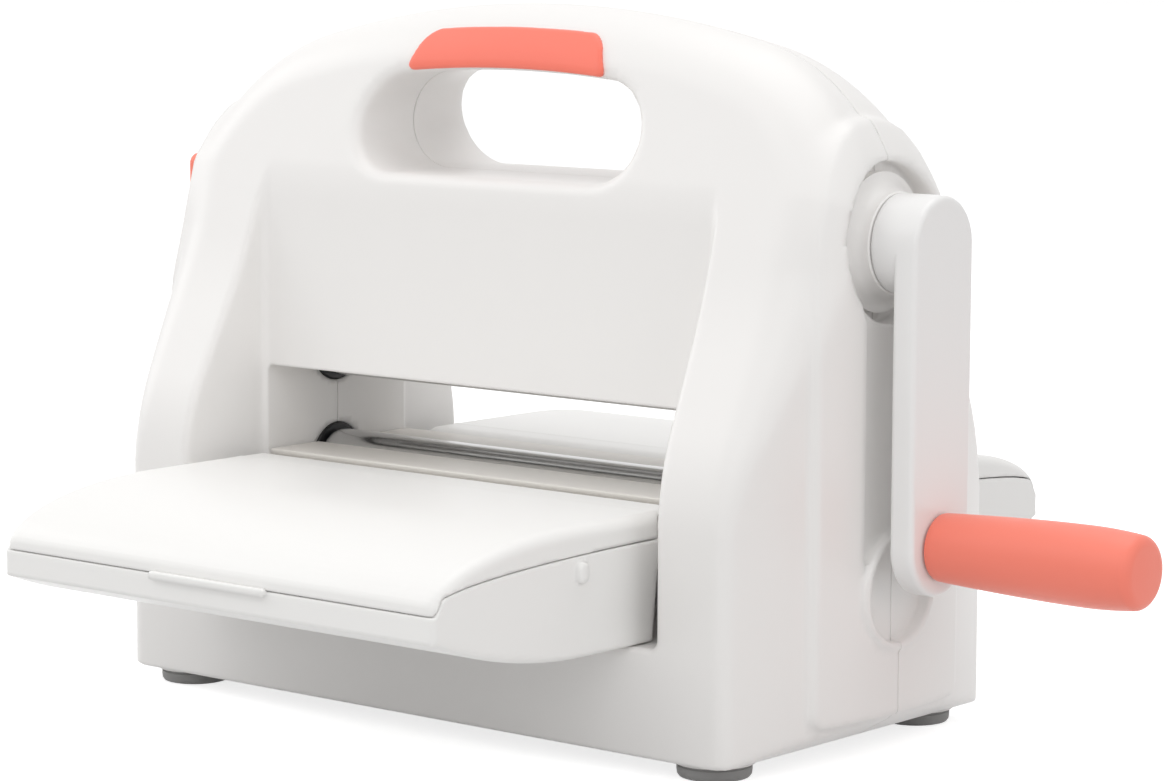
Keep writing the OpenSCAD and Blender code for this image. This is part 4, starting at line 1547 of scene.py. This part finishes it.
@dataclass
class Repeated:
    """A small turned shape set at many places by a Geometry Nodes tree.

    Attributes:
        name: Name of the piece.
        profile: Side view of the shape, points (place along its axis, radius).
        places: Where the copies stand, in millimetres.
        axes: The way that each copy faces.
        steps: Faces around the shape.
        seed: Seed of the turn that each copy gets about its axis.
    """

    name: str
    profile: Outline
    places: Sequence[tuple[float, float, float]]
    axes: Sequence[tuple[float, float, float]]
    steps: int = 48
    seed: int = 7

    def _template(self) -> bpy.types.Object:
        """Makes the shape that is repeated, turned about +Z.

        Returns:
            The shape, its normals outward.
        """
        vertices, faces = turned(self.profile, self.steps)
        piece = new_piece(f"{self.name}_template", vertices[:, [2, 1, 0]], faces)
        outward(piece)
        crease(piece, 35)
        return piece

    def _points(self) -> bpy.types.Object:
        """Makes the points, each with the direction that its copy faces.

        Returns:
            A mesh object of points alone.
        """
        mesh = bpy.data.meshes.new(f"{self.name}_points")
        mesh.from_pydata([(Vector(p) * MM)[:] for p in self.places], [], [])
        facing = mesh.attributes.new("facing", "FLOAT_VECTOR", "POINT")
        facing.data.foreach_set("vector", [c for axis in self.axes for c in axis])
        points = bpy.data.objects.new(mesh.name, mesh)
        bpy.context.scene.collection.objects.link(points)
        return points

    def _tree(self) -> bpy.types.NodeTree:
        """Builds the tree: points in, realized copies out.

        Returns:
            The tree.
        """
        tree = bpy.data.node_groups.new(f"{self.name}_set", "GeometryNodeTree")
        face = tree.interface
        kinds = {"Points": "Geometry", "Shape": "Object", "Size": "Float", "Turn Seed": "Int",
                 "Finish": "Material"}
        for label, kind in kinds.items():
            face.new_socket(label, in_out="INPUT", socket_type=f"NodeSocket{kind}")
        face.new_socket("Copies", in_out="OUTPUT", socket_type="NodeSocketGeometry")
        add, link = tree.nodes.new, tree.links.new
        start, end = add("NodeGroupInput"), add("NodeGroupOutput")
        shape = add("GeometryNodeObjectInfo")
        link(start.outputs["Shape"], shape.inputs["Object"])
        named = add("GeometryNodeInputNamedAttribute")
        named.data_type = "FLOAT_VECTOR"
        named.inputs["Name"].default_value = "facing"
        aim = add("FunctionNodeAlignRotationToVector")
        aim.axis = "Z"
        link(named.outputs["Attribute"], aim.inputs["Vector"])
        turn = add("FunctionNodeRandomValue")
        turn.data_type = "FLOAT_VECTOR"
        turn.inputs[0].default_value = (0, 0, 0)
        turn.inputs[1].default_value = (0, 0, math.tau)
        link(start.outputs["Turn Seed"], turn.inputs["Seed"])
        spin = add("FunctionNodeRotateRotation")
        spin.rotation_space = "LOCAL"
        link(aim.outputs[0], spin.inputs[0])
        link(turn.outputs[0], spin.inputs[1])
        copies = add("GeometryNodeInstanceOnPoints")
        link(start.outputs["Points"], copies.inputs["Points"])
        link(shape.outputs["Geometry"], copies.inputs["Instance"])
        link(spin.outputs[0], copies.inputs["Rotation"])
        link(start.outputs["Size"], copies.inputs["Scale"])
        real = add("GeometryNodeRealizeInstances")
        link(copies.outputs[0], real.inputs[0])
        finish = add("GeometryNodeSetMaterial")
        link(real.outputs[0], finish.inputs["Geometry"])
        link(start.outputs["Finish"], finish.inputs["Material"])
        link(finish.outputs[0], end.inputs[0])
        return tree

    def build(self, material: bpy.types.Material) -> bpy.types.Object:
        """Makes the copies and turns them into one plain mesh.

        Args:
            material: Finish of the copies.

        Returns:
            The finished piece at the origin.
        """
        template, points, tree = self._template(), self._points(), self._tree()
        modifier = points.modifiers.new("set", "NODES")
        modifier.node_group = tree
        keys = {item.name: item.identifier for item in tree.interface.items_tree if item.in_out == "INPUT"}
        modifier[keys["Shape"]] = template
        modifier[keys["Size"]] = 1.0
        modifier[keys["Turn Seed"]] = self.seed
        modifier[keys["Finish"]] = material
        scene = bpy.context.evaluated_depsgraph_get()
        mesh = bpy.data.meshes.new_from_object(points.evaluated_get(scene), depsgraph=scene)
        for used in (points, template):
            bpy.data.objects.remove(used)
        mesh.name = self.name
        piece = bpy.data.objects.new(self.name, mesh)
        bpy.context.scene.collection.objects.link(piece)
        return piece


@dataclass
class Hardware:
    """Feet, bushings and screws. Profiles are points (place along the axis, radius).

    Attributes:
        finishes: The machine's finishes.
        foot_places: Distance of the feet from the middle, along X and Y.
        foot: Half section of a foot, with its groove and its peg.
        bushing_x: Distance of the bushings' inner ends from the middle.
        bushing: Half section of a bushing, with its flange.
        screw_head: Half section of a screw's head, with its round socket.
        shell_screw: Length of a shell screw under its head.
        tray_screw: Length of a tray screw under its head.
        shank: Radius of the screws.
    """

    finishes: Finishes
    foot_places: tuple[float, float] = (106.0, 50.0)
    foot: Outline = (
        (0.0, 0.0), (0.0, 9.4), (0.25, 10.3), (1.0, 10.85), (2.2, 11.0), (3.3, 11.0), (3.6, 10.6),
        (4.28, 10.6), (4.28, 3.0), (8.3, 3.0), (8.3, 0.0))
    bushing_x: float = 89.6
    bushing: Outline = (
        (89.6, 6.05), (89.6, 11.1), (90.0, 11.5), (97.5, 11.5), (97.5, 13.5), (99.5, 13.5), (99.5, 6.05))
    screw_head: Outline = (
        (-1.2, 0.0), (-1.2, 1.5), (-2.6, 1.7), (-2.6, 3.1), (-2.3, 3.6), (-1.7, 3.8), (0.0, 3.8),
        (0.0, 2.0))
    shell_screw: float = 23.0
    tray_screw: float = 22.5
    shank: float = 2.0

    def _set(self, repeated: Repeated, rider: Rider, slot: Slot, nodes: Sequence[str]) -> None:
        """Builds a set of copies and puts it on its body.

        Args:
            repeated: The copies.
            rider: Body that they move with.
            slot: Their finish.
            nodes: Solids that they stand in for.
        """
        piece = repeated.build(self.finishes.by_slot[slot])
        place(piece, rider, slot, self.finishes, nodes)

    def build(self) -> None:
        """Makes every repeated piece."""
        self._feet()
        self._bushings()
        self._screws()

    def _feet(self) -> None:
        """Makes the four rubber feet, each with a peg and a groove round its edge."""
        x, y = self.foot_places
        places = [(sx * x, sy * y, 0.0) for sx in (-1, 1) for sy in (-1, 1)]
        feet = Repeated("rubber_feet", self.foot, places, [(0, 0, 1)] * 4, 64)
        self._set(feet, Rider.HOUSING, Slot.RUBBER, ["feet"])

    def _bushings(self) -> None:
        """Makes the four black bushings of the rollers, a flange on each."""
        profile = [(x - self.bushing_x, r) for x, r in self.bushing]
        places = [(s * self.bushing_x, 0.0, z) for s in (-1, 1) for z in HousingForm.roller_heights]
        axes = [(s, 0, 0) for s in (-1, 1) for _ in range(2)]
        nodes = [f"{level}_{side}_bushing" for level in ("lower", "upper") for side in ("left", "right")]
        bushings = Repeated("roller_bushings", profile, places, axes, 64)
        self._set(bushings, Rider.HOUSING, Slot.BUSHING, nodes)

    def _screw(self, length: float) -> Outline:
        """Half section of a screw with its head."""
        return [*self.screw_head, (length, self.shank), (length, 0.0)]

    def _screws(self) -> None:
        """Makes the screws of the shells and of both trays."""
        shell, tray = HousingForm, TrayForm
        rear = [(s * x, shell.screw_seat, z) for x, z in shell.posts for s in (-1, 1)]
        screws = Repeated("shell_screw_set", self._screw(self.shell_screw), rear, [(0, -1, 0)] * 4)
        self._set(screws, Rider.HOUSING, Slot.SCREW, ["shell_screws"])
        seat, short = tray.under + tray.screw_seat, self._screw(self.tray_screw)
        for rider, s in ((Rider.FRONT_TRAY, -1), (Rider.REAR_TRAY, 1)):
            places = [(way * x, s * y, seat) for way in (-1, 1) for x, y in tray.posts]
            name = f"{rider.value}_screw"
            screws = Repeated(f"{name}_set", short, places, [(0, 0, 1)] * 4)
            self._set(screws, rider, Slot.SCREW, [f"{name}s"])


# ---------------------------------------------------------------- rollers and decks


@dataclass
class Rollers:
    """The two ground steel rollers and the deck strips beside the lower one.

    Attributes:
        finishes: The machine's finishes.
        radius: Radius of a roller.
        half: Half its length, without the journals.
        journal: Radius of its journals.
        deck_inner: Side view of a deck strip's inner end, points (distance from the mid plane, height).
        deck_lip: Heights of the deck's top and of its outer edge.
        deck_edge: Width of the bevel on its edges.
    """

    finishes: Finishes
    radius: float = 9.75
    half: float = 88.6
    journal: float = 6.0
    deck_inner: Outline = ((31.0, 72.0), (11.8, 72.0), (10.6, 73.6), (10.2, 75.0))
    deck_lip: tuple[float, float] = (75.0, 73.7)
    deck_edge: float = 0.5

    def build(self) -> None:
        """Makes both rollers and both deck strips."""
        for rider, name in ((Rider.UPPER, "upper_roller"), (Rider.LOWER, "lower_roller")):
            low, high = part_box(name)
            left, right = low.x / MM, high.x / MM
            height = (low.z + high.z) / 2 / MM
            half, full, thin = self.half, self.radius, self.journal
            profile = [(left, 0.0), (left, thin - 0.6), (left + 0.6, thin), (-half, thin),
                       (-half, full - 0.5), (-half + 0.5, full), (half - 0.5, full), (half, full - 0.5),
                       (half, thin), (right - 0.6, thin), (right, thin - 0.6), (right, 0.0)]
            piece = turned_piece(f"{name}_bar", profile, height, 35)
            place(piece, rider, Slot.ROLLER, self.finishes, [name])
        for side in Side:
            self._deck(side)

    def _deck(self, side: Side) -> None:
        """Makes one deck strip from its outline, with softened edges.

        Args:
            side: Side of the machine that it is on.
        """
        node = f"{side.name.lower()}_deck"
        low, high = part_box(node)
        half = high.x / MM
        reach = (high.y if side is Side.REAR else -low.y) / MM
        outline = [*((reach, z) for z in self.deck_lip), *self.deck_inner]
        points = [(x, side.value * y, z) for x in (-half, half) for y, z in outline]
        count = len(outline)
        faces = [list(range(count)), list(range(2 * count - 1, count - 1, -1))]
        faces += [[i, (i + 1) % count, count + (i + 1) % count, count + i] for i in range(count)]
        piece = new_piece(f"{node}_strip", np.array(points), faces)
        outward(piece)
        bevel = piece.modifiers.new("edges", "BEVEL")
        bevel.width = self.deck_edge * MM
        bevel.segments = 3
        crease(piece, 35)
        place(piece, Rider.HOUSING, Slot.DECK, self.finishes, [node])


# ---------------------------------------------------------------- parts kept from the frame


def dress_frame(finishes: Finishes) -> None:
    """Gives every solid that stays as packed the finish of its slot.

    Args:
        finishes: The machine's finishes.
    """
    for entry in frame["record"]["subparts"]:
        slot = Slot(entry["material_slot"])
        finishes.dress(frame["nodes"][entry["node"]], slot)


# ---------------------------------------------------------------- studio


@dataclass
class Studio:
    """Camera, floor, lamps and surroundings.

    Attributes:
        eye: Place of the camera, in millimetres.
        azimuth: Its way round from the front, in degrees.
        pitch: Its look down, in degrees.
        roll: Its tilt, in degrees.
        focal_px: Focal length, in pixels of the full frame.
        frame_px: Width of the full frame.
        sensor: Width of the sensor, in millimetres.
        centre: Point that the lamps aim at, in millimetres.
        lamp_list: Name, place in millimetres, side in metres and power in watts of each square lamp.
        world_light: Level of the white room as the machine gets it.
        floor_reach: Half the floor's width, in metres.
        floor_tone: Colour of the floor.
        floor_lift: Light added to the floor where it is looked at.
    """

    eye: tuple[float, float, float] = (756.2, -891.8, 246.2)
    azimuth: float = 39.75
    pitch: float = 7.22
    roll: float = 0.20
    focal_px: float = 3769.0
    frame_px: float = 1165.0
    sensor: float = 36.0
    centre: tuple[float, float, float] = (0.0, 0.0, 100.0)
    lamp_list: tuple[tuple[str, tuple[float, float, float], float, float], ...] = (
        ("key", (-700, -1500, 1500), 1.4, 5.2),
        ("right", (900, -1500, 1100), 1.2, 5.0),
        ("side", (1800, -200, 900), 1.2, 4.2),
        ("top", (0, 200, 1900), 1.6, 11.0),
        ("left", (-1700, -500, 900), 1.2, 7.0),
    )
    world_light: float = 0.56
    floor_reach: float = 8.0
    floor_tone: float = 0.67
    floor_lift: float = 0.74

    def camera(self) -> None:
        """Makes the camera."""
        az, el = math.radians(self.azimuth), math.radians(self.pitch)
        back = Vector((math.sin(az) * math.cos(el), -math.cos(az) * math.cos(el), math.sin(el)))
        right = Vector((math.cos(az), math.sin(az), 0.0))
        up = back.cross(right)
        tilt = Matrix.Rotation(math.radians(self.roll), 4, "Z")
        turn = Matrix((right, up, back)).transposed().to_4x4() @ tilt
        data = bpy.data.cameras.new("studio_camera")
        data.sensor_fit = "HORIZONTAL"
        data.sensor_width = self.sensor
        data.lens = self.focal_px / self.frame_px * self.sensor
        data.clip_end = 50
        camera = bpy.data.objects.new("studio_camera", data)
        camera.matrix_world = Matrix.Translation(Vector(self.eye) * MM) @ turn
        bpy.context.scene.collection.objects.link(camera)
        bpy.context.scene.camera = camera

    def lamps(self) -> None:
        """Adds the soft square lamps."""
        for name, spot, size, watts in self.lamp_list:
            data = bpy.data.lights.new(name, "AREA")
            data.size = size
            data.energy = watts
            lamp = bpy.data.objects.new(name, data)
            lamp.location = Vector(spot) * MM
            way = (Vector(self.centre) - Vector(spot)).normalized()
            lamp.rotation_euler = way.to_track_quat("-Z", "Y").to_euler()
            bpy.context.scene.collection.objects.link(lamp)

    def _seen(self, tree: bpy.types.NodeTree) -> Node:
        """Adds a factor that is 1 where the background is looked at, straight, in gloss or through glass.

        Args:
            tree: Tree of the world or of a material.

        Returns:
            The factor.
        """
        path = tree.nodes.new("ShaderNodeLightPath")
        seen = path.outputs["Is Camera Ray"]
        for ray in ("Is Glossy Ray", "Is Transmission Ray"):
            either = tree.nodes.new("ShaderNodeMath")
            either.operation = "MAXIMUM"
            tree.links.new(seen, either.inputs[0])
            tree.links.new(path.outputs[ray], either.inputs[1])
            seen = either.outputs[0]
        return seen

    def surroundings(self) -> None:
        """Adds the white world and the floor."""
        world = bpy.data.worlds.new("white_room")
        bpy.context.scene.world = world
        world.use_nodes = True
        tree = world.node_tree
        back = tree.nodes["Background"]
        back.inputs["Color"].default_value = (1, 1, 1, 1)
        level = tree.nodes.new("ShaderNodeMapRange")
        level.inputs["To Min"].default_value = self.world_light
        level.inputs["To Max"].default_value = 1.0
        tree.links.new(self._seen(tree), level.inputs["Value"])
        tree.links.new(level.outputs[0], back.inputs["Strength"])
        mesh = bpy.data.meshes.new("floor")
        turns = ((-1, -1), (1, -1), (1, 1), (-1, 1))
        corners = [(a * self.floor_reach, b * self.floor_reach, 0) for a, b in turns]
        mesh.from_pydata(corners, [], [(0, 1, 2, 3)])
        floor = bpy.data.objects.new("floor", mesh)
        bpy.context.scene.collection.objects.link(floor)
        mesh.materials.append(self._floor_paint())

    def _floor_paint(self) -> bpy.types.Material:
        """White floor that keeps the shadow of the machine.

        Returns:
            The material.
        """
        material = bpy.data.materials.new("white_floor")
        material.use_nodes = True
        tree = material.node_tree
        tree.nodes.clear()
        add, link = tree.nodes.new, tree.links.new
        out, both = add("ShaderNodeOutputMaterial"), add("ShaderNodeAddShader")
        paint, glow = add("ShaderNodeBsdfDiffuse"), add("ShaderNodeEmission")
        paint.inputs["Color"].default_value = (self.floor_tone, self.floor_tone, self.floor_tone, 1)
        lift = add("ShaderNodeMath")
        lift.operation = "MULTIPLY"
        lift.inputs[1].default_value = self.floor_lift
        link(self._seen(tree), lift.inputs[0])
        link(lift.outputs[0], glow.inputs["Strength"])
        link(paint.outputs[0], both.inputs[0])
        link(glow.outputs[0], both.inputs[1])
        link(both.outputs[0], out.inputs["Surface"])
        return material

    def build(self) -> None:
        """Sets up the whole studio."""
        self.camera()
        self.lamps()
        self.surroundings()
        bpy.context.scene.view_settings.view_transform = "Standard"


def main() -> None:
    """Builds the studio and the machine."""
    logging.basicConfig(level=logging.INFO, format="%(message)s")
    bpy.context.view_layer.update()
    Studio().build()
    finishes = Finishes()
    dress_frame(finishes)
    Housing(finishes).build()
    for side, rider in ((Side.FRONT, Rider.FRONT_TRAY), (Side.REAR, Rider.REAR_TRAY)):
        FeedTray(finishes, side, rider).build()
    Crank(finishes).build()
    Rollers(finishes).build()
    Hardware(finishes).build()


if __name__ == "__main__":
    main()
